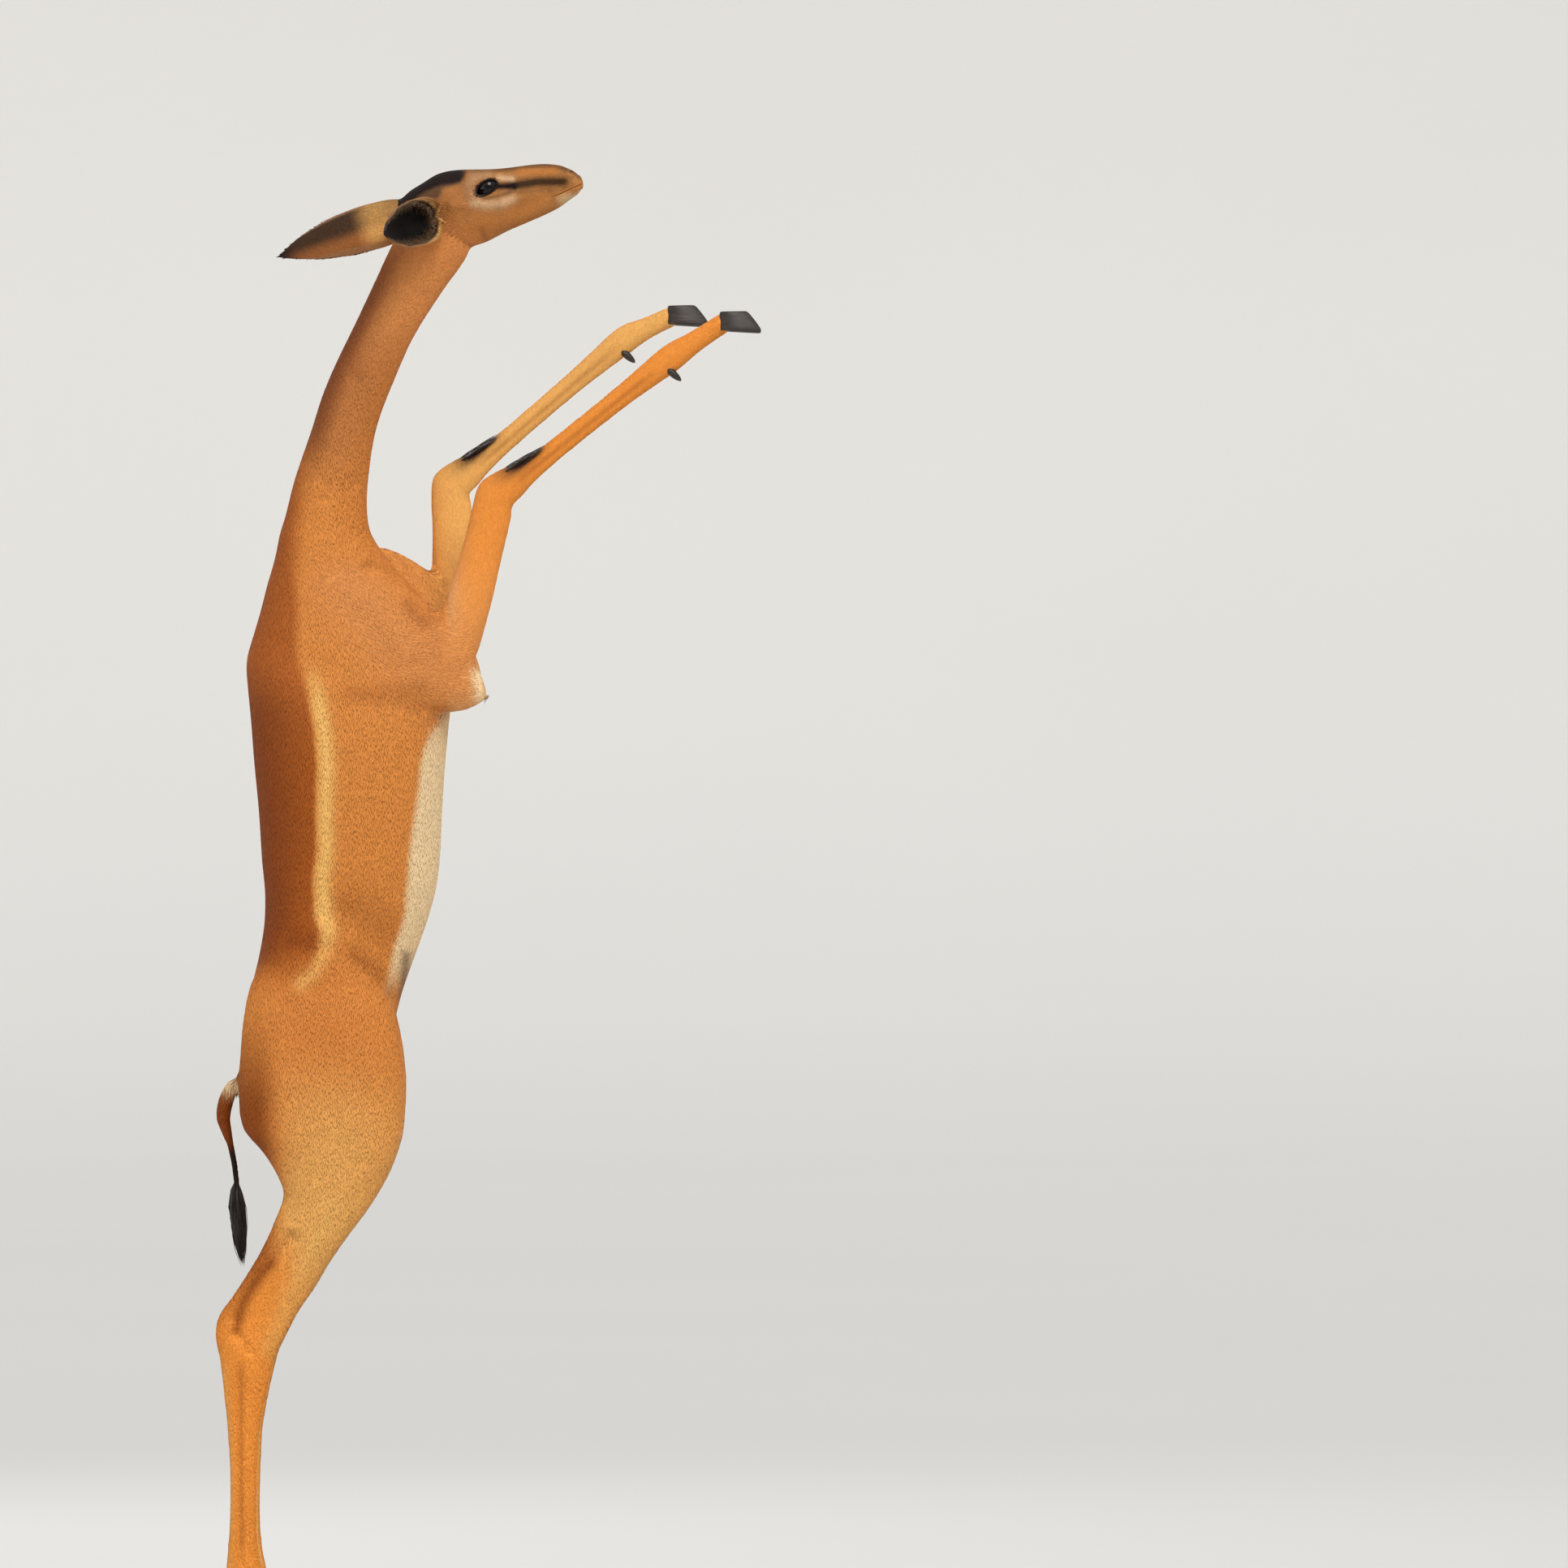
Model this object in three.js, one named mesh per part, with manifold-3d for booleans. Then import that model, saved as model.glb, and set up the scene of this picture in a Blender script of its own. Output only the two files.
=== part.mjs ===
// A gerenuk hen standing upright on her hind legs to browse, life size, on a plain flat base.
// Millimetres. +Z is up, +X is the way she faces, -Y is her right side. The finished group is moved so that
// its box is centred on the origin and stands on z = 0.
import * as THREE from "three";
import { mergeVertices } from "three/addons/utils/BufferGeometryUtils.js";
import Module from "manifold-3d";

const wasm = await Module();
wasm.setup();

// Driving sizes
const GAP = 0.3; // clear space between neighbouring pieces
const BASE = { back: -215, front: 440, halfWidth: 215, thickness: 25, corner: 60, bevel: 4 };
const FLOOR = BASE.thickness + GAP; // level of the soles
const HEAD_TILT = THREE.MathUtils.degToRad(12); // muzzle above the level
const EYE = { x: 316, z: 1935, y: 25.5, radius: 17.5, lid: 1.7, length: 30, height: 17, tilt: 31 };
const EAR = { length: 196, width: 60 };
const CLAW = { length: 53, width: 21, rise: 38, foreRise: 27, apart: 11.8 };
const DEWCLAW = { length: 17, radius: 6.5 };
const TUFT = { locks: 10, length: 78, width: 12, thickness: 2.8 };
const BRUSH = { locks: 6, length: 31, width: 9.5, thickness: 2.2 };
const LIMB_SQUARENESS = 2.1; // 2 is an ellipse, more is squarer
const RIGHT = -1;
const LEFT = 1;

// Colours of the coat and the hard parts
const FINISH = {
  coat: { color: 0xb9733c, roughness: 0.85 },
  saddle: { color: 0x9a5526, roughness: 0.85 },
  face: { color: 0xb4774a, roughness: 0.85 },
  ear: { color: 0x8a5c38, roughness: 0.85 },
  dark: { color: 0x1a120d, roughness: 0.8 },
  leg: { color: 0xc98648, roughness: 0.85 },
  hoof: { color: 0x2a2420, roughness: 0.55 },
  eye: { color: 0x120b08, roughness: 0.1 },
  base: { color: 0x5f4634, roughness: 0.6 },
};

// Each section is seen from the side as a line from a back point to a front point, across the body.
// Columns: back x, back z, front x, front z, half width, squareness, egg (wider in front when positive).
const TORSO = [
  [40, 706, 90, 706, 40, 2, 0],
  [8, 727, 114, 724, 58, 2.1, 0],
  [-4, 752, 142, 750, 70, 2.2, -0.05],
  [-8, 779, 162, 776, 77, 2.3, -0.08],
  [-2, 815, 181, 814, 81, 2.3, -0.1],
  [4, 857, 195, 857, 83, 2.3, -0.12],
  [10, 899, 206, 899, 84, 2.3, -0.12],
  [20, 941, 221, 941, 84, 2.3, -0.1],
  [27, 983, 236, 983, 86, 2.2, -0.05],
  [28, 1025, 248, 1025, 90, 2.2, 0],
  [24, 1067, 254, 1067, 95, 2.2, 0.04],
  [20, 1130, 257, 1130, 101, 2.2, 0.06],
  [14, 1193, 261, 1193, 103, 2.2, 0.06],
  [10, 1245, 266, 1245, 102, 2.15, 0.04],
  [6, 1287, 270, 1287, 98, 2.1, 0],
  [4, 1324, 268, 1322, 93, 2.05, -0.02],
  [14, 1361, 262, 1355, 87, 2, -0.04],
  [23, 1392, 248, 1384, 80, 2, -0.05],
  [31, 1424, 224, 1414, 71, 2, -0.05],
  [38, 1447, 202, 1438, 64, 2, -0.04],
  [43, 1468, 183, 1461, 58, 2, -0.02],
];
const NECK = [
  [47, 1489, 169, 1482, 52, 2, 0],
  [55, 1515, 162, 1500, 46, 2, 0],
  [66, 1559, 160, 1539, 40, 2, 0],
  [88, 1624, 167, 1601, 35.5, 2, 0],
  [102, 1668, 177, 1641, 33.5, 2, 0],
  [120, 1711, 193, 1682, 32.5, 2, 0],
  [152, 1777, 220, 1743, 31.5, 2, 0],
  [184, 1846, 258, 1803, 32, 2, 0],
  [201, 1878, 280, 1833, 33.5, 2, 0],
  [224, 1904, 297, 1861, 32, 2, 0],
];

// The head runs along its own axis: distance ahead of the eye, top, bottom, half width, squareness, egg.
const HEAD = [
  [-110, 12, -34, 24, 2, 0.1],
  [-98, 19, -48, 32, 2.1, 0.1],
  [-80, 25.5, -59, 37, 2.2, 0.12],
  [-62, 32, -65.5, 39.5, 2.2, 0.14],
  [-46, 33.5, -68.5, 41, 2.2, 0.17],
  [-30, 32, -68.4, 41.5, 2.2, 0.2],
  [-15, 29.3, -66.5, 41.5, 2.2, 0.23],
  [0, 26.3, -62.5, 40, 2.2, 0.25],
  [15, 23.6, -58.5, 36.5, 2.2, 0.24],
  [30, 21.8, -55.5, 31.5, 2.2, 0.2],
  [45, 20.6, -52.5, 27.5, 2.3, 0.14],
  [60, 19.4, -49.5, 24, 2.3, 0.08],
  [75, 17.4, -46, 21.5, 2.3, 0.02],
  [88, 14.2, -42, 20, 2.3, 0],
  [99, 10, -37, 19, 2.3, -0.02],
  [108, 4.5, -31.5, 17.5, 2.3, 0],
  [115, -1.5, -26.5, 14.5, 2.2, 0.05],
  [119.5, -8, -21, 9.5, 2, 0],
];
const MOUTH = { corner: [74, -29], middle: [98, -25.5], front: [126, -17.5], slit: 1.4, depth: 5 };
const NOSTRIL = { at: [113.5, -0.5], y: 8.5, size: [6.5, 3.2, 4.2] };

// Upper arm and shoulder of the right side, from the shoulder blade to the elbow.
// Columns: lower x, lower z, upper x, upper z, distance from the middle, half width, lean in of the upper edge.
const SHOULDER = [
  [52, 1287, 56, 1372, 66, 7, 12],
  [105, 1271, 105, 1425, 79, 14, 24],
  [163, 1264, 158, 1444, 76, 22, 26],
  [210, 1259, 200, 1429, 70, 28, 20],
  [247, 1256, 231, 1405, 66, 30, 12],
  [277, 1258, 257, 1378, 65, 29, 6],
  [299, 1264, 279, 1350, 66, 25, 2],
  [311, 1272, 298, 1322, 68, 18, 0],
];
// The left arm is raised a little higher, with its elbow further back. Shifts of its sections in x and z.
const LEFT_ARM_SHIFT = { blade: [14, 29], elbow: [-7, 27], bendsFrom: 4 };

// Bones of the forelegs: x, distance from the middle, z.
const FORE_BONES = {
  right: { elbow: [272, 68, 1310], carpus: [328, 72, 1535], fetlock: [556, 66, 1718], coffin: [624, 63, 1761] },
  left: { elbow: [273, 68, 1337], carpus: [267, 72, 1550], fetlock: [495, 66, 1746], coffin: [556, 63, 1773] },
};
// Flesh round the foreleg's bones: bone, place along it, reach in front, behind and to each side.
const FORE_FLESH = [
  [0, -0.06, 24, 16, 20],
  [0, 0.04, 33, 22, 27],
  [0, 0.16, 35, 26, 27.5],
  [0, 0.3, 33, 27, 26],
  [0, 0.46, 29.5, 27.5, 23.5],
  [0, 0.62, 27, 26.5, 21],
  [0, 0.78, 26, 26, 19],
  [0, 0.91, 26.5, 25.5, 19],
  [1, 0.01, 28, 23, 20],
  [1, 0.09, 24, 20, 18.5],
  [1, 0.17, 17.5, 16, 14.5],
  [1, 0.3, 13.5, 13.5, 12],
  [1, 0.5, 13, 13, 11.5],
  [1, 0.7, 13.6, 13.8, 12],
  [1, 0.85, 15, 16.2, 14],
  [1, 0.95, 16.6, 18.5, 16.5],
  [2, 0.08, 16, 18, 17],
  [2, 0.32, 14, 15, 15.5],
  [2, 0.62, 13, 13, 15],
  [2, 0.86, 13, 12.5, 16.5],
  [2, 1.0, 12.8, 12, 17.5],
];
const FORE_CUTS = { forearm: [0, 8], cannon: [8, 15], pastern: [15, 20] };

// Hind leg of the right side. Columns: back x, back z, front x, front z, distance from the middle, half width.
const HIND_LEG = [
  [26, 935, 150, 955, 44, 26],
  [10, 904, 178, 925, 47, 38],
  [1, 857, 198, 862, 52, 46],
  [-3, 804, 208, 804, 54, 49],
  [-4, 762, 209, 757, 55, 48],
  [1, 722, 206, 715, 57, 44],
  [26, 692, 196, 680, 59, 39],
  [44, 664, 181, 647, 61, 34],
  [54, 636, 160, 613, 62, 29.5],
  [44, 607, 134, 578, 63, 25.5],
  [34, 583, 111, 545, 63, 22],
  [19, 554, 91, 511, 62.5, 19.5],
  [3, 528, 70, 481, 62, 17.5],
  [-14, 502, 55, 452, 61.5, 17],
  [-29, 481, 45, 432, 61, 18],
  [-34, 455, 40, 416, 61, 19],
  [-28, 424, 35, 396, 61.5, 18.5],
  [-23, 382, 29, 368, 62, 15.5],
  [-18, 332, 22, 325, 62.5, 13.8],
  [-15, 279, 20, 276, 63, 13],
  [-15, 227, 19, 225, 63.5, 13],
  [-17, 185, 21, 181, 64, 14],
  [-20, 150, 27, 148, 64.5, 16.5],
  [-21, 124, 32, 126, 65, 18],
  [-14, 99, 38, 108, 65, 16.5],
  [0, 74, 46, 86, 65.5, 17],
  [11, 47, 56, 61, 66, 19],
];
const HIND_CUTS = { thigh: [0, 8], shank: [8, 14], cannon: [14, 23], pastern: [23, 26] };

// The tail hangs from the rump: x, z, half thickness.
const TAIL = [
  [2, 782, 9],
  [-12, 774, 10],
  [-22, 756, 10],
  [-26, 735, 9],
  [-22, 717, 6.5],
  [-17, 699, 3.6],
  [-12, 675, 3],
  [-9, 650, 2.8],
];

// Raised and hollow places of the flesh: a line from one side-view point to another, its reach and its push.
const TRUNK_FORMS = [
  { from: [104, 962], to: [122, 946], reach: 24, push: 6 },
  { from: [70, 975], to: [88, 968], reach: 22, push: -5 },
  { from: [150, 1005], to: [185, 940], reach: 34, push: -6 },
  { from: [120, 1140], to: [150, 1230], reach: 70, push: 3 },
  { from: [110, 1520], to: [150, 1690], reach: 11, push: -2.5 },
];
const LEG_FORMS = [
  { from: [50, 575], to: [-6, 500], reach: 11, push: -8 },
  { from: [105, 825], to: [150, 775], reach: 20, push: -3 },
  { from: [40, 800], to: [60, 720], reach: 30, push: 3 },
  { from: [-6, 450], to: [4, 428], reach: 9, push: -2.5 },
];
const HEAD_FORMS = [
  { from: [-2, 15], to: [8, 13], reach: 13, push: 3.5 },
  { from: [-20, -13], to: [40, -19], reach: 7, push: 2.2 },
  { from: [-34, -42], to: [-24, -34], reach: 20, push: 2.5 },
  { from: [28, 2], to: [62, -4], reach: 8, push: -2 },
  { from: [104, 3], to: [112, -1], reach: 7, push: 1.6 },
  { from: [80, -33], to: [112, -28], reach: 5, push: 1.2 },
];

// A seeded source of numbers from 0 to 1, so that the locks vary alike on every run.
function seeded(seed) {
  let state = seed;
  return () => {
    state = (state * 1664525 + 1013904223) % 4294967296;
    return state / 4294967296;
  };
}

function signedPower(value, power) {
  return Math.sign(value) * Math.pow(Math.abs(value), power);
}

function vector(x, y, z) {
  return new THREE.Vector3(x, y, z);
}

// Distance in the side view from a point to the line between two points.
function sideDistance(x, z, from, to) {
  const dx = to[0] - from[0];
  const dz = to[1] - from[1];
  const along = ((x - from[0]) * dx + (z - from[1]) * dz) / (dx * dx + dz * dz);
  const held = THREE.MathUtils.clamp(along, 0, 1);
  return Math.hypot(x - from[0] - held * dx, z - from[1] - held * dz);
}

function pushOf(forms, x, z) {
  let push = 0;
  for (const form of forms) {
    const away = sideDistance(x, z, form.from, form.to) / form.reach;
    push += form.push * Math.exp(-away * away);
  }
  return push;
}

// One section of a body: a superellipse between its back and front points, both in 3D.
function section(back, front, half, square = 2, egg = 0) {
  return { back, front, half, square, egg };
}

function sectionsFromTable(table, side) {
  return table.map(([backX, backZ, frontX, frontZ, ...rest]) => {
    const back = vector(backX, 0, backZ);
    const front = vector(frontX, 0, frontZ);
    if (side === 0) return section(back, front, ...rest);
    const [away, half, lean = 0] = rest;
    back.y = side * away;
    front.y = side * (away - lean);
    return section(back, front, half, LIMB_SQUARENESS);
  });
}

// Sections of the shoulder and upper arm, shifted on the left side from the blade to the elbow.
function shoulderSections(side) {
  const sections = sectionsFromTable(SHOULDER, side);
  if (side === RIGHT) return sections;
  const { blade, elbow, bendsFrom } = LEFT_ARM_SHIFT;
  sections.forEach((at, i) => {
    const t = THREE.MathUtils.clamp((i - bendsFrom) / (sections.length - 1 - bendsFrom), 0, 1);
    const [dx, dz] = [0, 1].map((k) => THREE.MathUtils.lerp(blade[k], elbow[k], t));
    const shift = vector(dx, 0, dz);
    for (const point of [at.back, at.front]) point.add(shift);
  });
  return sections;
}

// Smooth sections between the given ones, a number of steps to each gap.
function smoothSections(sections, steps) {
  const backs = new THREE.CatmullRomCurve3(sections.map((s) => s.back), false, "centripetal");
  const fronts = new THREE.CatmullRomCurve3(sections.map((s) => s.front), false, "centripetal");
  const sizes = sections.map((s) => vector(s.half, s.square, s.egg));
  const size = new THREE.CatmullRomCurve3(sizes, false, "catmullrom", 0.5);
  const count = (sections.length - 1) * steps;
  const smooth = [];
  for (let i = 0; i <= count; i += 1) {
    const t = i / count;
    const at = size.getPoint(t);
    smooth.push(section(backs.getPoint(t), fronts.getPoint(t), at.x, at.y, at.z));
  }
  return smooth;
}

// Points round one section. The forms push the sides in and out, and grow makes the whole fatter.
function ringOf(part, sides, grow, forms, toForms) {
  const centre = part.back.clone().add(part.front).multiplyScalar(0.5);
  const across = part.front.clone().sub(part.back);
  const depth = across.length() / 2;
  across.normalize();
  const points = [];
  for (let j = 0; j < sides; j += 1) {
    const angle = (2 * Math.PI * j) / sides;
    const u = signedPower(Math.cos(angle), 2 / part.square);
    const v = signedPower(Math.sin(angle), 2 / part.square);
    const half = part.half * (1 + part.egg * u);
    const point = centre.clone().addScaledVector(across, u * depth);
    point.y += v * half;
    const [x, z] = toForms(point);
    const push = grow + pushOf(forms, x, z) * v * v;
    const out = vector(across.x * u * half, v * depth, across.z * u * half).normalize();
    points.push(point.addScaledVector(out, push));
  }
  return points;
}

// A dome beyond an end ring, as rings that shrink to a point.
function domeRings(ring, axis, height, levels) {
  const centre = middleOf(ring);
  const rings = [];
  for (let level = 1; level < levels; level += 1) {
    const lift = (level / levels) * (Math.PI / 2);
    const scale = Math.cos(lift);
    const offset = axis.clone().multiplyScalar(height * Math.sin(lift));
    rings.push(ring.map((p) => p.clone().sub(centre).multiplyScalar(scale).add(centre).add(offset)));
  }
  return { rings, tip: centre.addScaledVector(axis, height) };
}

function middleOf(ring) {
  const middle = vector(0, 0, 0);
  ring.forEach((p) => middle.add(p));
  return middle.multiplyScalar(1 / ring.length);
}

// A closed solid through rings of equal count, closed at each end by a point.
function solidThroughRings(rings, firstTip, lastTip) {
  const sides = rings[0].length;
  const points = [...rings.flat(), firstTip, lastTip];
  const faces = [];
  for (let i = 0; i + 1 < rings.length; i += 1) {
    for (let j = 0; j < sides; j += 1) {
      const a = i * sides + j;
      const b = i * sides + ((j + 1) % sides);
      faces.push(a, b, b + sides, a, b + sides, a + sides);
    }
  }
  const last = (rings.length - 1) * sides;
  for (let j = 0; j < sides; j += 1) {
    const next = (j + 1) % sides;
    faces.push(next, j, points.length - 2);
    faces.push(last + j, last + next, points.length - 1);
  }
  return solidFromTriangles(points, faces);
}

function solidFromTriangles(points, faces) {
  let volume = 0;
  for (let i = 0; i < faces.length; i += 3) {
    const [a, b, c] = [points[faces[i]], points[faces[i + 1]], points[faces[i + 2]]];
    volume += a.dot(b.clone().cross(c));
  }
  const turned = volume < 0;
  const triVerts = new Uint32Array(faces);
  if (turned) triVerts.reverse();
  const vertProperties = new Float32Array(points.flatMap((p) => [p.x, p.y, p.z]));
  return new wasm.Manifold(new wasm.Mesh({ numProp: 3, vertProperties, triVerts }));
}

// A body through smooth sections, from one given section to another, with flat or domed ends.
function bodyOf(sections, options) {
  const { steps = 2, sides = 20, grow = 0, forms = [], dome = [0, 0], cut = null } = options;
  const toForms = options.toForms ?? ((p) => [p.x, p.z]);
  const smooth = smoothSections(sections, steps);
  const [first, last] = cut ? [cut[0] * steps, cut[1] * steps] : [0, smooth.length - 1];
  const used = smooth.slice(first, last + 1);
  const rings = used.map((part) => ringOf(part, sides, grow, forms, toForms));
  const startAxis = middleOf(rings[0]).sub(middleOf(rings[1])).normalize();
  const endAxis = middleOf(rings.at(-1)).sub(middleOf(rings.at(-2))).normalize();
  const levels = 3;
  const start = dome[0] ? domeRings(rings[0], startAxis, dome[0] + grow, levels) : null;
  const end = dome[1] ? domeRings(rings.at(-1), endAxis, dome[1] + grow, levels) : null;
  if (!start) rings[0].forEach((p) => p.addScaledVector(startAxis, grow - GAP / 2));
  if (!end) rings.at(-1).forEach((p) => p.addScaledVector(endAxis, grow - GAP / 2));
  const firstTip = start ? start.tip : middleOf(rings[0]);
  const lastTip = end ? end.tip : middleOf(rings.at(-1));
  const all = [...(start ? start.rings.reverse() : []), ...rings, ...(end ? end.rings : [])];
  return solidThroughRings(all, firstTip, lastTip);
}

// A closed three.js geometry as a solid.
function solidFromGeometry(geometry) {
  const bare = geometry.clone();
  bare.deleteAttribute("normal");
  bare.deleteAttribute("uv");
  const merged = mergeVertices(bare, 1e-4);
  const vertProperties = merged.attributes.position.array;
  const triVerts = new Uint32Array(merged.index.array);
  return new wasm.Manifold(new wasm.Mesh({ numProp: 3, vertProperties, triVerts }));
}

function largestOf(solid) {
  const pieces = solid.decompose();
  return pieces.reduce((a, b) => (b.volume() > a.volume() ? b : a));
}

function without(solid, ...cutters) {
  return largestOf(cutters.reduce((left, cutter) => left.subtract(cutter), solid));
}

// Trunk: torso and neck in one run of sections.
const trunkSections = sectionsFromTable([...TORSO, ...NECK], 0);
const neckStart = TORSO.length;
const trunkOptions = { sides: 22, forms: TRUNK_FORMS };

function torsoSolid(grow) {
  return bodyOf(trunkSections, { ...trunkOptions, steps: 1, grow, dome: [14, 0], cut: [0, neckStart] });
}

function neckSolid(grow) {
  const cut = [neckStart, trunkSections.length - 1];
  return bodyOf(trunkSections, { ...trunkOptions, steps: 2, grow, dome: [0, 8], cut });
}

// The head's own axis, turned up from the level at the eye.
const headAxis = vector(Math.cos(HEAD_TILT), 0, Math.sin(HEAD_TILT));
const headUp = vector(-Math.sin(HEAD_TILT), 0, Math.cos(HEAD_TILT));

function headPoint(ahead, up, y) {
  const origin = vector(EYE.x, y, EYE.z);
  return origin.addScaledVector(headAxis, ahead).addScaledVector(headUp, up);
}

function toHead(point) {
  const from = vector(point.x - EYE.x, 0, point.z - EYE.z);
  return [from.dot(headAxis), from.dot(headUp)];
}

function headSolid(grow) {
  const sections = HEAD.map(([ahead, top, bottom, half, square, egg]) =>
    section(headPoint(ahead, bottom, 0), headPoint(ahead, top, 0), half, square, egg),
  );
  const options = { steps: 2, sides: 22, forms: HEAD_FORMS, toForms: toHead, dome: [10, 5] };
  return bodyOf(sections, { ...options, grow });
}

function eyeball(side, radius) {
  const geometry = new THREE.SphereGeometry(radius, 14, 8);
  geometry.translate(EYE.x, side * EYE.y, EYE.z);
  return solidFromGeometry(geometry);
}

// The almond opening between the lids, as a prism out of the side of the head.
function eyeOpening(side) {
  const shape = new THREE.Shape();
  shape.moveTo(-EYE.length / 2, 0);
  shape.quadraticCurveTo(-1, EYE.height * 1.05, EYE.length / 2, 0);
  shape.quadraticCurveTo(1, -EYE.height * 0.8, -EYE.length / 2, 0);
  const geometry = new THREE.ExtrudeGeometry(shape, { depth: 40, bevelEnabled: false, curveSegments: 7 });
  geometry.rotateX(Math.PI / 2);
  geometry.rotateY(-THREE.MathUtils.degToRad(EYE.tilt));
  geometry.translate(EYE.x, side > 0 ? EYE.y + 44 : -EYE.y - 4, EYE.z);
  return solidFromGeometry(geometry);
}

// A thin slit along the closed lips, deep at the sides and right through in front.
function mouthSlit() {
  const middle = new THREE.QuadraticBezierCurve(
    new THREE.Vector2(...MOUTH.corner),
    new THREE.Vector2(...MOUTH.middle),
    new THREE.Vector2(...MOUTH.front),
  ).getPoints(6);
  const slit = (fromY, toY, points) => {
    const shape = new THREE.Shape();
    points.forEach((p, i) => {
      const half = i === 0 ? 0.2 : MOUTH.slit / 2;
      shape[i ? "lineTo" : "moveTo"](p.x, p.y + half);
    });
    [...points].reverse().forEach((p) => shape.lineTo(p.x, p.y - MOUTH.slit / 2));
    const geometry = new THREE.ExtrudeGeometry(shape, { depth: toY - fromY, bevelEnabled: false });
    geometry.rotateX(Math.PI / 2);
    geometry.translate(0, toY, 0);
    geometry.rotateY(-HEAD_TILT);
    geometry.translate(EYE.x, 0, EYE.z);
    return solidFromGeometry(geometry);
  };
  const core = 20 - MOUTH.depth;
  return slit(-40, -core, middle)
    .add(slit(core, 40, middle))
    .add(slit(-core - 1, core + 1, middle.slice(4)));
}

function nostril(side) {
  const geometry = new THREE.SphereGeometry(1, 8, 6);
  geometry.scale(...[NOSTRIL.size[0], NOSTRIL.size[2], NOSTRIL.size[1]]);
  geometry.rotateY(THREE.MathUtils.degToRad(32));
  const at = headPoint(...NOSTRIL.at, side * NOSTRIL.y);
  geometry.translate(at.x, at.y + side * 2.5, at.z);
  return solidFromGeometry(geometry);
}

// The finished head: lids over the eyes, the eye openings, the slit of the mouth and the nostrils.
function finishedHead() {
  let head = headSolid(0);
  for (const side of [RIGHT, LEFT]) head = head.add(eyeball(side, EYE.radius + EYE.lid));
  for (const side of [RIGHT, LEFT]) {
    head = head.subtract(eyeball(side, EYE.radius + GAP));
    head = head.subtract(eyeOpening(side));
    head = head.subtract(nostril(side));
  }
  return without(head, mouthSlit());
}

// An ear: a long cupped leaf, nearly closed at its base and flat at its tip.
// along runs from its base to its tip, and opening is the way the cup faces.
function earSolid(base, tip, opening) {
  const along = tip.clone().sub(base).normalize();
  const face = opening.clone().addScaledVector(along, -opening.dot(along)).normalize();
  const across = along.clone().cross(face);
  const profile = [
    [0, 0.5, 2.4, 0.9],
    [0.1, 0.7, 2.3, 0.75],
    [0.2, 0.9, 2, 0.4],
    [0.34, 1, 1.65, 0.1],
    [0.5, 0.98, 1.4, 0.085],
    [0.65, 0.84, 1.3, 0.085],
    [0.8, 0.58, 1.2, 0.11],
    [0.93, 0.25, 1.15, 0.2],
  ];
  const half = 7;
  const rings = profile.map(([place, width, turn, wall]) => {
    const radius = (EAR.width * width) / 2 / Math.sin(Math.min(turn, Math.PI / 2));
    const centre = base.clone().addScaledVector(along, place * EAR.length);
    centre.addScaledVector(face, -6 * Math.sin(Math.PI * place));
    const depth = radius * 0.55;
    const points = [];
    for (let k = 0; k <= half; k += 1) points.push([radius, (k / half) * 2 - 1]);
    for (let k = half; k >= 0; k -= 1) points.push([radius * (1 - wall), ((k / half) * 2 - 1) * 0.97]);
    return points.map(([reach, part]) => {
      const angle = part * turn;
      const point = centre.clone().addScaledVector(across, reach * Math.sin(angle));
      return point.addScaledVector(face, depth - reach * Math.cos(angle));
    });
  });
  const end = base.clone().addScaledVector(along, EAR.length);
  return solidThroughRings(rings, middleOf(rings[0]), end);
}

// Sections round a foreleg's bones. The front of a raised foreleg is its upper side.
function forelegSections(bones, side) {
  const joints = ["elbow", "carpus", "fetlock", "coffin"].map((name) => {
    const [x, y, z] = bones[name];
    return vector(x, side * y, z);
  });
  const centres = FORE_FLESH.map(([bone, place]) => joints[bone].clone().lerp(joints[bone + 1], place));
  const path = new THREE.CatmullRomCurve3(centres, false, "centripetal");
  return FORE_FLESH.map(([, , inFront, behind, half], i) => {
    const along = path.getTangent(i / (centres.length - 1));
    const frontward = vector(-along.z, 0, along.x).normalize();
    const back = centres[i].clone().addScaledVector(frontward, -behind);
    const front = centres[i].clone().addScaledVector(frontward, inFront);
    return section(back, front, half, LIMB_SQUARENESS);
  });
}

// One claw of a hoof: a flat sole, pointed in front, and walls that lean in up to the hair line.
function clawSolid(foot, side, place) {
  const { at, forward, up, rise } = foot;
  const levels = [
    [0, 1, 0],
    [0.2, 1, -0.01],
    [0.55, 0.87, -0.08],
    [1, 0.7, -0.2],
  ];
  const sides = 10;
  const rings = levels.map(([height, scale, shift]) => {
    const ring = [];
    for (let j = 0; j < sides; j += 1) {
      const angle = (2 * Math.PI * j) / sides;
      const ahead = Math.cos(angle) * 0.5 * scale + shift;
      const inner = Math.sin(angle) * place < 0 ? 0.8 : 1;
      const wide = signedPower(Math.sin(angle), 0.85) * (1 - 0.34 * Math.cos(angle)) * 0.5 * scale * inner;
      const point = at.clone().addScaledVector(forward, ahead * CLAW.length);
      point.addScaledVector(up, height * rise);
      point.y += side * place * CLAW.apart + side * wide * CLAW.width;
      ring.push(point);
    }
    return ring;
  });
  return solidThroughRings(rings, middleOf(rings[0]), middleOf(rings.at(-1)));
}

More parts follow.
